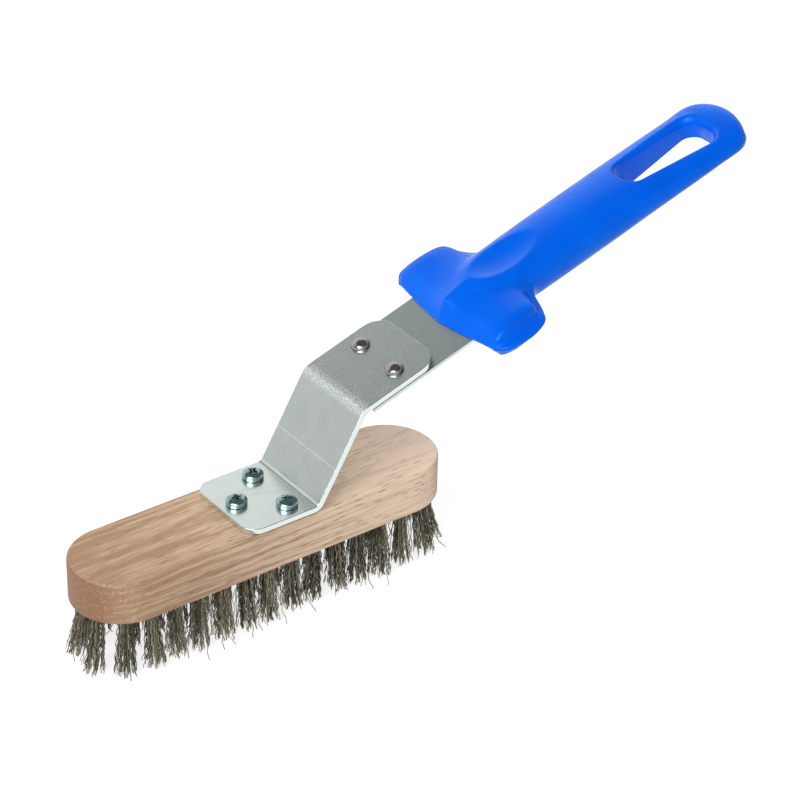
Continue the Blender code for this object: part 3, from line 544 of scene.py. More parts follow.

# Bracket: 40 mm aluminium flat bar, bent twice on a press and rounded at its corners. The skin
# has crazed over the upper bend, handling has left fine scratches, and a line is scribed across.
BAR_THICKNESS = 0.0025
FOOT_LENGTH = 0.0322
RISER_LENGTH = 0.0425
PLATE_LENGTH = 0.0387
RISER_ANGLE = math.radians(59.7)
PLATE_ANGLE = math.radians(17.9)
FOOT_BEND = 0.0025
PLATE_BEND = 0.0057
BEND_STEPS = 12
FOOT_CORNER = 0.007
PLATE_CORNER = 0.009
BAR_EDGE = 0.00028
SCRIBE_SETBACK = 0.0262
SCRIBE_HALF = (0.00012, 0.00035)
CRAZE_BELOW = (-0.0045, -0.0015)
CRAZE_BEYOND = (0.0015, 0.0045)
ALUMINIUM = (0.77, 0.83, 0.80, 1)
ALUMINIUM_DULL = (0.72, 0.79, 0.76, 1)

bar_low, bar_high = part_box("bent_bracket")
foot_level = bar_low.z + BAR_THICKNESS
foot_corner = Vector((bar_low.x + FOOT_LENGTH, 0, foot_level))
riser_way = Vector((math.cos(RISER_ANGLE), 0, math.sin(RISER_ANGLE)))
plate_way = Vector((math.cos(PLATE_ANGLE), 0, math.sin(PLATE_ANGLE)))
plate_normal = Vector((-math.sin(PLATE_ANGLE), 0, math.cos(PLATE_ANGLE)))
riser_normal = Vector((-math.sin(RISER_ANGLE), 0, math.cos(RISER_ANGLE)))
plate_corner = foot_corner + riser_way * RISER_LENGTH


def scratches(tree, place, angle, fineness):
    """Thin scratches that run one way over a metal face, as a mask."""
    turned = add_node(tree, "ShaderNodeMapping", {0: place, "Rotation": angle}).outputs[0]
    drawn = stretch(tree, turned, (7, fineness, fineness))
    return add_range(tree, add_noise(tree, drawn, scale=1.0, detail=2.0)["Fac"], 0.63, 0.72)


def height_along(tree, place, way, start):
    """Distance of each point from a start, measured along a way."""
    sockets = {0: place, 1: tuple(start)}
    offset = add_node(tree, "ShaderNodeVectorMath", sockets, operation="SUBTRACT").outputs[0]
    return dot_with(tree, offset, tuple(way))


def aluminium_material():
    """Mill finish aluminium: satin, scratched, crazed over the upper bend, scribed across."""
    material, tree, place = start_material("satin_aluminium")
    cloud = add_noise(tree, place, scale=140.0, detail=6.0)["Fac"]
    grit = add_noise(tree, place, scale=2500.0, detail=3.0)["Fac"]
    marks = scratches(tree, place, (0, 0, 0.35), 2200)
    marks = add_math(tree, "ADD", marks, scratches(tree, place, (0.2, 0.4, 2.1), 1800), clamp=True)
    bend = height_along(tree, place, riser_way, plate_corner)
    over = height_along(tree, place, plate_way, plate_corner)
    below = add_range(tree, bend, *CRAZE_BELOW)
    crazed = times(tree, below, add_range(tree, over, *CRAZE_BEYOND, 1, 0))
    sockets = {"Vector": place, "Scale": 1100.0}
    cells = add_node(tree, "ShaderNodeTexVoronoi", sockets, feature="DISTANCE_TO_EDGE").outputs
    crack = times(tree, crazed, add_range(tree, cells["Distance"], 0.0, 0.25, 1, 0))
    scribe = add_math(tree, "ABSOLUTE", add_math(tree, "ADD", bend, SCRIBE_SETBACK))
    scribe = add_range(tree, scribe, *SCRIBE_HALF, 1, 0)
    colour = add_mix(tree, add_range(tree, cloud, 0.35, 0.7), ALUMINIUM, ALUMINIUM_DULL)
    rough = add_range(tree, grit, 0.3, 0.7, 0.235, 0.255)
    rough = add_math(tree, "ADD", rough, times(tree, marks, 0.05))
    height = times(tree, marks, -0.3)
    height = add_math(tree, "SUBTRACT", height, scribe)
    height = add_math(tree, "SUBTRACT", height, times(tree, crack, 2.0))
    height = add_math(tree, "ADD", height, times(tree, grit, 0.07))
    add_surface(tree, colour, rough, metallic=1.0, relief=(height, 0.00004, 0.8))
    return material


def crosses(item):
    """True for an edge that runs across the strip."""
    if not isinstance(item, bmesh.types.BMEdge):
        return False
    return abs(item.verts[0].co.y - item.verts[1].co.y) > SAME_PLACE


def run_on(bm, edges, way):
    """Carry the strip's leading edges on along a straight way."""
    grown = bmesh.ops.extrude_edge_only(bm, edges=edges)["geom"]
    moved = [item for item in grown if isinstance(item, bmesh.types.BMVert)]
    bmesh.ops.translate(bm, verts=moved, vec=way)
    return [item for item in grown if crosses(item)]


def bend_on(bm, edges, centre, angle):
    """Bend the strip on from its leading edges, round an axis across it."""
    spun = bmesh.ops.spin(
        bm, geom=edges, cent=centre, axis=(0, -1, 0), angle=angle, steps=BEND_STEPS, use_merge=False
    )
    return [item for item in spun["geom_last"] if crosses(item)]


foot_bend_run = FOOT_BEND * math.tan(RISER_ANGLE / 2)
plate_bend_run = PLATE_BEND * math.tan((RISER_ANGLE - PLATE_ANGLE) / 2)
bm = bmesh.new()
start = [bm.verts.new((bar_low.x, side, foot_level)) for side in (bar_low.y, bar_high.y)]
lead = [bm.edges.new(start)]
lead = run_on(bm, lead, (FOOT_LENGTH - foot_bend_run, 0, 0))
lead = bend_on(bm, lead, foot_corner + Vector((-foot_bend_run, 0, FOOT_BEND)), RISER_ANGLE)
lead = run_on(bm, lead, riser_way * (RISER_LENGTH - foot_bend_run - plate_bend_run))
bend_centre = plate_corner - riser_way * plate_bend_run - riser_normal * PLATE_BEND
lead = bend_on(bm, lead, bend_centre, PLATE_ANGLE - RISER_ANGLE)
lead = run_on(bm, lead, plate_way * (PLATE_LENGTH - plate_bend_run))
low_x = min(vert.co.x for vert in bm.verts)
high_x = max(vert.co.x for vert in bm.verts)
for end, radius in ((low_x, FOOT_CORNER), (high_x, PLATE_CORNER)):
    corners = [vert for vert in bm.verts if abs(vert.co.x - end) < SAME_PLACE]
    round_off(bm, corners, radius, segments=12, affect="VERTICES")
bmesh.ops.recalc_face_normals(bm, faces=bm.faces[:])
if sum(face.normal.z for face in bm.faces) < 0:
    bmesh.ops.reverse_faces(bm, faces=bm.faces[:])
bmesh.ops.solidify(bm, geom=bm.faces[:], thickness=BAR_THICKNESS)
bracket = finished_piece("aluminium_bracket", bm, aluminium_material(), sharp_angle=math.radians(40))
ease = bracket.modifiers.new("ease edges", "BEVEL")
ease.width = BAR_EDGE
ease.segments = 2
ease.limit_method = "ANGLE"
ease.angle_limit = math.radians(50)
ease.harden_normals = True
keep_modifiers(bracket)
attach(bracket, "root")
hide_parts("bent_bracket")

# Screws: three zinc plated pan heads with cross recesses hold the foot down on the block. The
# recess has small ticks between its arms, and the head's rim is rounded.
HEAD_RADIUS = 0.0044
HEAD_HEIGHT = 0.0031
HEAD_FLANK = 0.0014
HEAD_SEAT_SHARE = 0.985
SHANK_RADIUS = 0.0020
SCREW_POINT = 0.004
RECESS_REACH = 0.0029
RECESS_WIDTH = 0.0013
RECESS_DEPTH = 0.0023
RECESS_FLOOR_SHARE = 0.5
TICK_REACH = 0.0023
TICK_WIDTH = 0.00035
TICK_DEPTH = 0.0009
HEAD_TURN = 0.35
HEAD_TURN_STEP = 0.5
DOME_STEPS = 12
TURNED_STEPS = 64
ZINC = (0.44, 0.58, 0.59, 1)
ZINC_DARK = (0.24, 0.37, 0.38, 1)


def turned_piece(name, profile, place, axis, material):
    """Solid of revolution from a profile of (radius, height), stood on a place along an axis."""
    bm = bmesh.new()
    verts = [bm.verts.new((radius, 0, height)) for radius, height in profile]
    edges = [bm.edges.new(pair) for pair in zip(verts, verts[1:])]
    bmesh.ops.spin(
        bm, geom=verts + edges, cent=(0, 0, 0), axis=(0, 0, 1), angle=math.tau, steps=TURNED_STEPS,
        use_merge=True,
    )
    bmesh.ops.remove_doubles(bm, verts=bm.verts[:], dist=SAME_PLACE)
    stand = Matrix.Translation(place) @ axis.to_track_quat("Z", "Y").to_matrix().to_4x4()
    bmesh.ops.transform(bm, matrix=stand, verts=bm.verts[:])
    return finished_piece(name, bm, material, sharp_angle=math.radians(45)), stand


def dome(radius, height, flank, steps):
    """Profile of a low dome from its crown to the foot of its flank."""
    points = [(0, height)]
    for step in range(1, steps + 1):
        angle = math.pi / 2 * step / steps
        points.append((radius * math.sin(angle), flank + (height - flank) * math.cos(angle)))
    return points + [(radius * HEAD_SEAT_SHARE, 0)]


def zinc_material():
    """Bright zinc: bluish, glossy, faintly mottled."""
    material, tree, place = start_material("zinc_plate")
    mottle = add_noise(tree, place, scale=900.0, detail=3.0)["Fac"]
    colour = add_mix(tree, add_range(tree, mottle, 0.3, 0.7), ZINC, ZINC_DARK)
    add_surface(tree, colour, rough=0.17, metallic=1.0, relief=(mottle, 0.00003, 0.5))
    return material


def recess_cutter(stand):
    """Cross shaped driver recess that narrows with depth, and the ticks between its arms."""
    bm = bmesh.new()
    top = Matrix.Translation((0, 0, HEAD_HEIGHT))
    arm = Matrix.Diagonal((RECESS_REACH * 2, RECESS_WIDTH, RECESS_DEPTH * 2, 1))
    tick = Matrix.Diagonal((TICK_REACH * 2, TICK_WIDTH, TICK_DEPTH * 2, 1))
    for angle in (0, math.pi / 2):
        turned = Matrix.Rotation(angle, 4, "Z") @ top
        for vert in bmesh.ops.create_cube(bm, size=1, matrix=turned @ arm)["verts"]:
            if vert.co.z < HEAD_HEIGHT:
                vert.co.x *= RECESS_FLOOR_SHARE
                vert.co.y *= RECESS_FLOOR_SHARE
                vert.co.z = HEAD_HEIGHT - RECESS_DEPTH
    for angle in (math.pi / 4, math.pi * 3 / 4):
        turned = Matrix.Rotation(angle, 4, "Z") @ top
        bmesh.ops.create_cube(bm, size=1, matrix=turned @ tick)
    bmesh.ops.transform(bm, matrix=stand, verts=bm.verts[:])
    return bm


zinc = zinc_material()
for number, name in enumerate(("screw_left", "screw_right", "screw_front")):
    low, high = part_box(name)
    seat = Vector(((low.x + high.x) / 2, (low.y + high.y) / 2, high.z - HEAD_HEIGHT))
    profile = dome(HEAD_RADIUS, HEAD_HEIGHT, HEAD_FLANK, DOME_STEPS)
    profile += [(SHANK_RADIUS, 0), (SHANK_RADIUS, low.z + SCREW_POINT - seat.z), (0, low.z - seat.z)]
    screw, stand = turned_piece(name + "_turned", profile, seat, Vector((0, 0, 1)), zinc)
    twist = Matrix.Rotation(HEAD_TURN + number * HEAD_TURN_STEP, 4, "Z")
    carve(screw, recess_cutter(stand @ twist), crossing=True)
    screw.data.shade_smooth()
    screw.data.set_sharp_from_angle(angle=math.radians(40))
    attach(screw, "root")
    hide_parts(name)

# Blade: a flat strip of rolled steel under the bracket's plate. It runs on into the handle, where
# it narrows to a tang, and its corners under the bend are only eased.
BLADE_THICKNESS = 0.0015
SEAT_GAP = 0.0003
BLADE_SETBACK = 0.0045
BLADE_BARE_END = 0.0643
BLADE_END = 0.1303
TANG_HALF = 0.010
BLADE_EDGE = 0.00018
STEEL = (0.64, 0.72, 0.69, 1)
STEEL_DULL = (0.58, 0.66, 0.63, 1)

blade_low, blade_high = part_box("steel_blade")
blade_level = -(BAR_THICKNESS + SEAT_GAP + BLADE_THICKNESS / 2)
handle_frame = Matrix((plate_way, Vector((0, 1, 0)), plate_normal)).transposed().to_4x4()
handle_frame = Matrix.Translation(plate_corner + plate_normal * blade_level) @ handle_frame


def steel_material():
    """Rolled steel: grey green, streaked along the strip, with a few cross scratches."""
    material, tree, place = start_material("blade_steel")
    streak = add_noise(tree, stretch(tree, place, (60, 900, 900)), scale=1.0, detail=4.0)["Fac"]
    colour = add_mix(tree, add_range(tree, streak, 0.3, 0.7), STEEL, STEEL_DULL)
    marks = scratches(tree, place, (0.3, 0.1, 1.2), 1500)
    rough = add_range(tree, streak, 0.3, 0.7, 0.22, 0.30)
    height = add_math(tree, "SUBTRACT", streak, times(tree, marks, 0.4))
    add_surface(tree, colour, rough, metallic=1.0, relief=(height, 0.00002, 0.25))
    return material


bm = bmesh.new()
for start_run, end_run, half in (
    (BLADE_SETBACK, BLADE_BARE_END, (blade_high.y - blade_low.y) / 2),
    (BLADE_BARE_END, BLADE_END, TANG_HALF),
):
    size = Matrix.Diagonal((end_run - start_run, half * 2, BLADE_THICKNESS, 1))
    middle = Matrix.Translation(((start_run + end_run) / 2, 0, 0))
    verts = bmesh.ops.create_cube(bm, size=1, matrix=handle_frame @ middle @ size)["verts"]
    edges = list({edge for vert in verts for edge in vert.link_edges})
    round_off(bm, edges, BLADE_EDGE, segments=2)
blade = finished_piece("rolled_steel_blade", bm, steel_material(), sharp_angle=math.radians(20))
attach(blade, "root")
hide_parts("steel_blade")

# Rivets: two domed nickel rivets hold the blade to the plate. Each dome stands on a thin collar,
# and its tail is flattened under the blade.
RIVET_RADIUS = 0.0039
RIVET_DOME_SHARE = 0.93
RIVET_DOME_STEPS = 14
RIVET_HEIGHT = 0.0026
RIVET_COLLAR = 0.0004
RIVET_TAIL_RADIUS = 0.0032
RIVET_TAIL_HEIGHT = 0.0013
RIVET_ALONG = 0.0222
RIVET_SPREAD = 0.0113
NICKEL = (0.36, 0.35, 0.34, 1)


def nickel_material():
    """Bright nickel with faint hammer marks on the dome."""
    material, tree, place = start_material("bright_rivet")
    dent = add_noise(tree, place, scale=420.0, detail=2.0)["Fac"]
    rough = add_range(tree, dent, 0.3, 0.7, 0.06, 0.14)
    add_surface(tree, NICKEL, rough, metallic=1.0, relief=(dent, 0.0003, 0.6))
    return material


nickel = nickel_material()
rivet_seat = BLADE_THICKNESS / 2 + SEAT_GAP + BAR_THICKNESS
blade_under = -BLADE_THICKNESS / 2 - rivet_seat
tail_end = blade_under - RIVET_TAIL_HEIGHT
for name, side in (("rivet_left", RIVET_SPREAD), ("rivet_right", -RIVET_SPREAD)):
    profile = dome(RIVET_RADIUS * RIVET_DOME_SHARE, RIVET_HEIGHT, RIVET_COLLAR, RIVET_DOME_STEPS)[:-1]
    profile += [(RIVET_RADIUS, RIVET_COLLAR), (RIVET_RADIUS, 0), (SHANK_RADIUS, 0)]
    profile += [(SHANK_RADIUS, blade_under), (RIVET_TAIL_RADIUS, blade_under)]
    profile += [(RIVET_TAIL_RADIUS, blade_under - RIVET_TAIL_HEIGHT / 2)]
    profile += [(SHANK_RADIUS, tail_end), (0, tail_end)]
    place = handle_frame @ Vector((RIVET_ALONG, side, rivet_seat))
    rivet = turned_piece(name + "_turned", profile, place, plate_normal, nickel)[0]
    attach(rivet, "root")
    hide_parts(name)

# Handle: one blue plastic moulding over the blade's tang. A winged guard with a centre ridge,
# crisp top edges and scalloped lips runs into an oval grip with a thumb scoop, and a hang slot
# goes through its broad end.
GUARD_FRONT = 0.0523
HANDLE_LENGTH = 0.1587
GUARD_LENGTH = 0.0344
LIP_HALF = 0.0369
TOP_HALF = 0.0320
RIDGE_HEIGHT = 0.0104
EDGE_HEIGHT = 0.0064
LIP_HEIGHT = 0.0014
FRONT_SAG = 0.0040
FRONT_RUN = 0.0066
FRONT_TIP_LEAD = 0.0010
FRONT_RIDGE_LEAD = 0.0006
FRONT_LEAD_FADE = 0.0048
UNDER_SETBACK = 0.0016
NOSE_POINT_SHARE = 0.6
NOSE_HALF = 0.0312
NOSE_EDGE_SHARE = 0.35
WING_SPREAD_POWER = 3.5
WING_STEPS = 12
SCALLOP_WALL_SHARE = 0.16
SCALLOP_LEVEL_SHARE = 0.30
SCALLOP_FOOT_SHARE = 0.38
SCALLOP_FOOT_LEVEL_SHARE = 0.10
LIP_TOP_SHARE = 0.08
LIP_UNDER_SHARE = 0.25
NECK_ROUND_SHARE = 0.3
WING_FILLET = 0.0014
NECK_FILLET = 0.0060
GRIP_HALF_WIDTH = 0.0170
GRIP_RISE = 0.0106
GRIP_POWER = 2.25
END_SAG = 0.0056
RING_STEPS = 30
RING_POWER = 0.8
SCALLOP_STEPS = 4
FRONT_RINGS = 14
GUARD_RINGS = 84
GRIP_RINGS = 118
GRIP_RING_POWER = 1.3
EASE_ROUNDS = 2
NECK_START = 0.0300
NECK_LENGTH = 0.0120
NECK_SIDE_SHARE = 0.7
NECK_EASE_ROUNDS = 36
SCOOP_START = 0.0193
SCOOP_LENGTH = 0.0350
SCOOP_WIDTH = 0.0158
SCOOP_DEPTH = 0.0026
SCOOP_TOOL_HEIGHT = 0.012
SCOOP_RIM = 0.0005
SLOT_END_MARGIN = 0.0137
SLOT_LENGTH = 0.0460
SLOT_START_HALF = 0.0074
SLOT_END_HALF = 0.0094
SLOT_START_RADIUS = 0.0060
SLOT_END_RADIUS = 0.0065
SLOT_RIM = 0.0016
SLOT_FAR_RIM = 0.0040
SLOT_UNDER_RIM = 0.0010
SLOT_DRAFT = 0.05
SLOT_LIFT = 0.00018
SLOT_OVERRUN = 0.003
SLOT_FLARE = 2.2
SLOT_FLARE_START = 1.2
SLOT_CORNER_STEPS = 12
SLOT_LEVELS = (("wall", 5), ("rim", 8), ("over", 1))
LINE_SLACK = 0.001
WIDEST_SHARE = 0.99
HANDLE_BLUE = (0.0, 0.118, 0.76, 1)
HANDLE_DEEP = (0.0, 0.10, 0.70, 1)
HANDLE_SHINE = (0.15, 0.75, 1.0, 1)

# Guard sections: share of its length, then shares of the lip's half width, the top's half width,
# the ridge's height, the top edge's height and the lip's height.
GUARD_SHARES = (
    (0.000, 0.890, 0.994, 0.800, 0.600, 1.00),
    (0.192, 0.913, 0.994, 0.840, 0.665, 1.00),
    (0.220, 0.954, 0.994, 0.865, 0.760, 1.00),
    (0.250, 0.978, 0.994, 0.890, 0.850, 1.00),
    (0.290, 0.995, 0.994, 0.915, 0.930, 1.00),
    (0.340, 1.005, 0.994, 0.950, 1.000, 1.00),
    (0.400, 1.014, 0.992, 0.980, 1.060, 1.00),
    (0.460, 1.018, 0.985, 1.010, 1.100, 1.00),
    (0.580, 1.018, 0.975, 1.040, 1.120, 1.00),
    (0.700, 0.994, 0.962, 1.020, 1.070, 1.00),
    (0.780, 0.965, 0.938, 0.990, 1.000, 1.00),
    (0.820, 0.942, 0.900, 0.970, 0.940, 1.00),
    (0.850, 0.915, 0.820, 0.950, 0.880, 1.00),
    (0.880, 0.890, 0.710, 0.930, 0.800, 1.00),
    (0.930, 0.835, 0.580, 0.890, 0.680, 1.10),
    (0.965, 0.735, 0.500, 0.850, 0.600, 1.40),
    (1.000, 0.605, 0.430, 0.800, 0.540, 1.80),
    (1.035, 0.540, 0.380, 0.720, 0.520, 2.20),
    (1.100, 0.465, 0.330, 0.600, 0.520, 2.30),
    (1.200, 0.300, 0.200, 0.400, 0.400, 1.80),
)

# Grip sections: share of the handle's length, then shares of its half width and of its rise above
# and below the blade's plane.
GRIP_SHARES = (
    (0.000, 0.10, 0.40, 0.40),
    (0.048, 0.14, 0.50, 0.50),
    (0.075, 0.30, 0.66, 0.62),
    (0.101, 0.52, 0.86, 0.76),
    (0.126, 0.72, 1.00, 0.86),
    (0.157, 0.86, 1.04, 0.90),
    (0.189, 0.93, 1.05, 0.91),
    (0.227, 0.955, 1.04, 0.91),
    (0.284, 0.970, 1.02, 0.90),
    (0.378, 0.995, 1.00, 0.86),
    (0.504, 1.020, 0.96, 0.80),
    (0.617, 1.050, 0.88, 0.71),
    (0.693, 1.070, 0.81, 0.66),
    (0.769, 1.090, 0.75, 0.61),
    (0.844, 1.105, 0.66, 0.56),
    (0.895, 1.125, 0.60, 0.49),
    (0.932, 1.140, 0.59, 0.45),
    (0.955, 1.140, 0.61, 0.45),
    (0.975, 1.115, 0.59, 0.45),
    (0.988, 1.060, 0.53, 0.42),
    (0.996, 0.990, 0.42, 0.35),
    (1.000, 0.930, 0.26, 0.24),
)

slot_start = GUARD_FRONT + HANDLE_LENGTH - SLOT_END_MARGIN - SLOT_LENGTH
slot_middle_share = 1 - (SLOT_END_MARGIN + SLOT_LENGTH / 2) / HANDLE_LENGTH
first_share = FRONT_RUN / HANDLE_LENGTH


def blend_rows(table, share):
    """Row of a table at a share along it, on smooth curves through its rows."""
    if share <= table[0][0]:
        return table[0][1:]
    for index in range(len(table) - 1):
        low, high = table[index], table[index + 1]
        if share > high[0]:
            continue
        before = table[max(index - 1, 0)]
        after = table[min(index + 2, len(table) - 1)]
        span = high[0] - low[0]
        t = (share - low[0]) / span
        row = []
        for column in range(1, len(low)):
            slope_low = (high[column] - before[column]) / (high[0] - before[0]) * span
            slope_high = (after[column] - low[column]) / (after[0] - low[0]) * span
            a, b = low[column], high[column]
            row.append(
                (2 * t ** 3 - 3 * t ** 2 + 1) * a + (t ** 3 - 2 * t ** 2 + t) * slope_low
                + (3 * t ** 2 - 2 * t ** 3) * b + (t ** 3 - t ** 2) * slope_high
            )
        return row
    return table[-1][1:]


def ray_to_polyline(direction, points):
    """Distance from the origin to a polyline along a unit direction."""
    best = 0
    for start, end in zip(points, points[1:]):
        side = end - start
        cross = direction.x * side.y - direction.y * side.x
        if cross == 0:
            continue
        distance = (start.x * side.y - start.y * side.x) / cross
        share = (start.x * direction.y - start.y * direction.x) / cross
        if distance > best and -LINE_SLACK <= share <= 1 + LINE_SLACK:
            best = distance
    return best


def guard_section(station, underside):
    """Quarter section of the guard: ridge and wing, then the scallop's wall, its foot and the lip."""
    shares = blend_rows(GUARD_SHARES, station * HANDLE_LENGTH / GUARD_LENGTH)
    lip_half = shares[0] * LIP_HALF
    top_half = shares[1] * TOP_HALF
    edge_height = shares[3] * EDGE_HEIGHT
    lip_height = shares[4] * LIP_HEIGHT
    rise = shares[2] * RIDGE_HEIGHT - edge_height
    drop = edge_height - lip_height
    step = lip_half - top_half
    bevel_share = LIP_UNDER_SHARE if underside else LIP_TOP_SHARE
    bevel = step * (bevel_share + NECK_ROUND_SHARE * (shares[4] - 1))
    section = []
    for index in range(WING_STEPS):
        share = index / WING_STEPS
        section.append((share * top_half, edge_height + rise * (1 - share) ** WING_SPREAD_POWER))
    section += [
        (top_half, edge_height),
        (top_half + step * SCALLOP_WALL_SHARE, lip_height + drop * SCALLOP_LEVEL_SHARE),
        (top_half + step * SCALLOP_FOOT_SHARE, lip_height + drop * SCALLOP_FOOT_LEVEL_SHARE),
        (lip_half - bevel, lip_height),
        (lip_half, 0),
    ]
    return [Vector(point) for point in section]


def handle_quarter(station, underside):
    """Quarter section of the handle at a share of its length: (y, z) from middle to side."""
    guard = guard_section(station, underside)
    in_guard = station * HANDLE_LENGTH < GUARD_SHARES[-1][0] * GUARD_LENGTH
    width, rise, drop = blend_rows(GRIP_SHARES, station)
    half_width = width * GRIP_HALF_WIDTH
    half_height = (drop if underside else rise) * GRIP_RISE
    corner_angles = [math.atan2(point.x, point.y) for point in guard[WING_STEPS:]]
    angles = [corner_angles[0] * (index / RING_STEPS) ** RING_POWER for index in range(RING_STEPS + 1)]
    for low, high in zip(corner_angles, corner_angles[1:]):
        angles += [low + (high - low) * (step + 1) / SCALLOP_STEPS for step in range(SCALLOP_STEPS)]
    quarter = []
    for angle in angles:
        direction = Vector((math.sin(angle), math.cos(angle)))
        spread = (direction.x / half_width) ** GRIP_POWER
        spread += (abs(direction.y) / half_height) ** GRIP_POWER
        radius = spread ** (-1 / GRIP_POWER)
        if in_guard:
            wing = ray_to_polyline(direction, guard)
            side_share = (angle * 2 / math.pi) ** 3
            fillet = WING_FILLET + (NECK_FILLET - WING_FILLET) * side_share
            overlap = max(fillet - abs(radius - wing), 0)
            radius = max(radius, wing) + overlap * overlap / (4 * fillet)
        quarter.append(direction * radius)
    quarter[0].x = 0
    quarter[-1].y = 0
    return quarter


def press_scoop(along, across, height):
    """Height of the skin once the thumb rest's ellipsoid is pressed into it, with a soft rim."""
    middle = SCOOP_START + SCOOP_LENGTH / 2
    width, rise, drop = blend_rows(GRIP_SHARES, middle / HANDLE_LENGTH)
    top = rise * GRIP_RISE
    fall = top * (1 - (1 - (SCOOP_WIDTH / 2 / (width * GRIP_HALF_WIDTH)) ** 2) ** 0.5)
    centre = top - SCOOP_DEPTH + SCOOP_TOOL_HEIGHT
    long_share = (1 - ((centre - top) / SCOOP_TOOL_HEIGHT) ** 2) ** 0.5
    wide_share = (1 - ((centre - top + fall) / SCOOP_TOOL_HEIGHT) ** 2) ** 0.5
    spread = ((along - middle) * long_share * 2 / SCOOP_LENGTH) ** 2
    spread += (across * wide_share * 2 / SCOOP_WIDTH) ** 2
    if spread >= 1:
        return height
    pressed = centre - SCOOP_TOOL_HEIGHT * (1 - spread) ** 0.5
    overlap = max(SCOOP_RIM - abs(height - pressed), 0)
    return min(height, pressed) - overlap * overlap / (4 * SCOOP_RIM)


def handle_ring(station):
    """Whole section at a share of the handle's length, as points along, across and above."""
    right = handle_quarter(station, False)
    below = handle_quarter(station, True)
    right += [Vector((point.x, -point.y)) for point in below[-2::-1]]
    left = [Vector((-point.x, point.y)) for point in right[-2:0:-1]]
    ring = []
    end_share = max(station - slot_middle_share, 0) / (1 - slot_middle_share)
    lead_share = max(1 - (station - first_share) * HANDLE_LENGTH / FRONT_LEAD_FADE, 0)
    widest = max(point.x for point in right)
    for point in right + left:
        flank = min(abs(point.y) / (GUARD_SHARES[1][4] * EDGE_HEIGHT), 1)
        tip_lead = FRONT_TIP_LEAD * (1 - flank)
        ridge_lead = FRONT_RIDGE_LEAD * flank * (1 - abs(point.x) / widest)
        along = GUARD_FRONT + station * HANDLE_LENGTH - (tip_lead + ridge_lead) * lead_share
        along -= END_SAG * end_share * (point.x / GRIP_HALF_WIDTH) ** 2
        height = press_scoop(along - GUARD_FRONT, point.x, point.y) if point.y > 0 else point.y
        ring.append(Vector((along, point.x, height)))
    return ring


def nose_ring(first):
    """The guard's front lip: the first section flattened and bowed to a blunt point."""
    widest = max(point.y for point in first)
    nose = []
    for point in first:
        share = abs(point.y / widest)
        bow = FRONT_SAG * (share ** 2 + NOSE_POINT_SHARE * (share - share ** 2))
        bow += UNDER_SETBACK * min(max(-point.z / LIP_HEIGHT, 0), 1)
        level = math.copysign(min(abs(point.z), LIP_HEIGHT), point.z)
        nose.append(Vector((GUARD_FRONT + bow, point.y / widest * NOSE_HALF, level)))
    return nose


def skin_level(along, across, underside):
    """Distance of the grip's skin from a point of the blade's plane."""
    width, rise, drop = blend_rows(GRIP_SHARES, (along - GUARD_FRONT) / HANDLE_LENGTH)
    share = min(abs(across) / (width * GRIP_HALF_WIDTH), WIDEST_SHARE)
    return (drop if underside else rise) * GRIP_RISE * (1 - share ** GRIP_POWER) ** (1 / GRIP_POWER)


def loft(bm, rings):
    """Skin over a run of rings; gives each ring's vertices."""
    loops = [[bm.verts.new(point) for point in ring] for ring in rings]
    for low, high in zip(loops, loops[1:]):
        for index in range(len(low)):
            after = (index + 1) % len(low)
            bm.faces.new((low[index], low[after], high[after], high[index]))
    return loops


def close_loop(bm, loop):
    """Close one end of the handle with strips from its upper to its lower edge."""
    count = len(loop)
    quarter = count // 4
    for index in range(count):
        after = (index + 1) % count
        facing = (2 * quarter - index) % count
        before = (2 * quarter - after) % count
        corners = list(dict.fromkeys((loop[index], loop[after], loop[before], loop[facing])))
        if len(corners) > 2 and not bm.faces.get(corners):
            bm.faces.new(corners)


def slot_side(outline, underside):
    """Rings of the cutter on one side of the parting line, from the wall out over the rim."""
    sign = -1 if underside else 1
    rings = []
    for kind, steps in SLOT_LEVELS:
        for step in range(1, steps + 1):
            ring = []
            for point, spoke in outline:
                far = (point.x - slot_start) / SLOT_LENGTH * SLOT_FLARE - SLOT_FLARE_START
                far = min(max(far, 0), 1)
                rim = SLOT_UNDER_RIM if underside else SLOT_RIM + (SLOT_FAR_RIM - SLOT_RIM) * far
                rest = point + spoke * (rim + SLOT_DRAFT * GRIP_RISE / 2)
                skin = skin_level(rest.x, rest.y, underside)
                if kind == "wall":
                    height = (skin - rim) * step / steps
                    offset = SLOT_DRAFT * height
                elif kind == "rim":
                    angle = math.pi / 2 * step / steps
                    height = skin + SLOT_LIFT - rim + rim * math.sin(angle)
                    offset = SLOT_DRAFT * (skin - rim) + rim * (1 - math.cos(angle))
                else:
                    height = skin + SLOT_OVERRUN
                    offset = SLOT_DRAFT * (skin - rim) + rim
                place = point + spoke * offset
                ring.append(Vector((place.x, place.y, height * sign)))
            rings.append(ring)
    return rings


def slot_rings():
    """Rings of the slot's cutter: drafted from a parting line, flared over both rims."""
    outline = []
    for centre, half, radius, way in (
        (slot_start + SLOT_LENGTH - SLOT_END_RADIUS, SLOT_END_HALF, SLOT_END_RADIUS, 1),
        (slot_start + SLOT_START_RADIUS, SLOT_START_HALF, SLOT_START_RADIUS, -1),
    ):
        for side in (-way, way):
            for step in range(SLOT_CORNER_STEPS + 1):
                share = step / SLOT_CORNER_STEPS
                angle = math.pi / 2 * (share if side == way else share - 1)
                spoke = Vector((math.cos(angle) * way, math.sin(angle) * way))
                middle = Vector((centre, side * (half - radius)))
                outline.append((middle + spoke * radius, spoke))
    middle = [Vector((point.x, point.y, 0)) for point, spoke in outline]
    return slot_side(outline, True)[::-1] + [middle] + slot_side(outline, False)


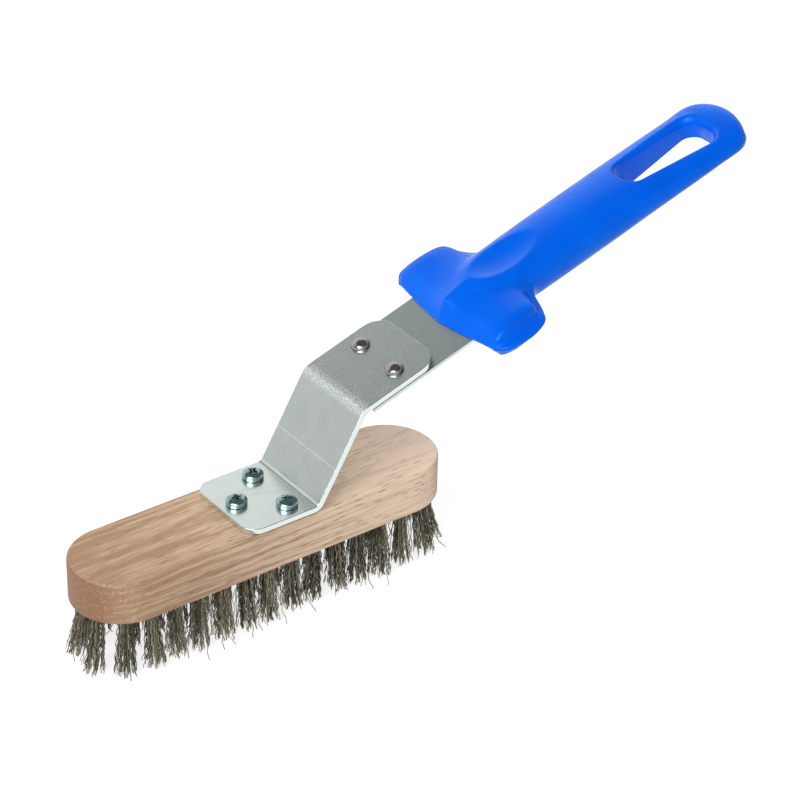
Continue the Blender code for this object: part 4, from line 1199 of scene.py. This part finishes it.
def blue_plastic_material():
    """Moulded polypropylene: deep blue, satin, with a very fine skin texture."""
    material, tree, place = start_material("blue_plastic")
    skin = add_noise(tree, place, scale=2200.0, detail=2.0)["Fac"]
    flow = add_noise(tree, place, scale=60.0, detail=3.0)["Fac"]
    colour = add_mix(tree, add_range(tree, flow, 0.3, 0.7), HANDLE_BLUE, HANDLE_DEEP)
    rough = add_range(tree, flow, 0.3, 0.7, 0.26, 0.34)
    shine = {"IOR": 1.5, "Specular IOR Level": 0.4, "Specular Tint": HANDLE_SHINE}
    add_surface(tree, colour, rough, relief=(skin, 0.00002, 0.35), shine=shine)
    return material


first = handle_ring(first_share)
nose = nose_ring(first)
rings = [[Vector((point.x, point.y, point.z * NOSE_EDGE_SHARE)) for point in nose]]
for index in range(FRONT_RINGS):
    share = index / FRONT_RINGS
    rings.append([low.lerp(high, share) for low, high in zip(nose, first)])
guard_share = GUARD_SHARES[-1][0] * GUARD_LENGTH / HANDLE_LENGTH
for index in range(GUARD_RINGS):
    rings.append(handle_ring(first_share + (guard_share - first_share) * index / GUARD_RINGS))
for index in range(GRIP_RINGS + 1):
    share = 1 - (1 - index / GRIP_RINGS) ** GRIP_RING_POWER
    rings.append(handle_ring(guard_share + (1 - guard_share) * share))
bm = bmesh.new()
loops = loft(bm, rings)
close_loop(bm, loops[0])
close_loop(bm, loops[-1])
neck = []
for vert in bm.verts:
    share = (vert.co.x - GUARD_FRONT - NECK_START) / NECK_LENGTH
    if 0 < share < 1 and abs(vert.co.y) > GRIP_HALF_WIDTH * NECK_SIDE_SHARE:
        neck.append(vert)
for verts, rounds in ((neck, NECK_EASE_ROUNDS), (bm.verts[:], EASE_ROUNDS)):
    for index in range(rounds):
        bmesh.ops.smooth_vert(
            bm, verts=verts, factor=0.5, use_axis_x=True, use_axis_y=True, use_axis_z=True
        )
handle = finished_piece("moulded_handle", bm, blue_plastic_material(), sharp_angle=None)
bm = bmesh.new()
loops = loft(bm, slot_rings())
bm.faces.new(loops[0])
bm.faces.new(loops[-1])
bmesh.ops.recalc_face_normals(bm, faces=bm.faces[:])
carve(handle, bm)
handle.data.transform(handle_frame)
handle_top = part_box("handle")[1].z
for vert in handle.data.vertices:
    vert.co.z = min(vert.co.z, handle_top)
handle.data.shade_smooth()
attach(handle, "root")
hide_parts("handle")

low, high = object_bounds()
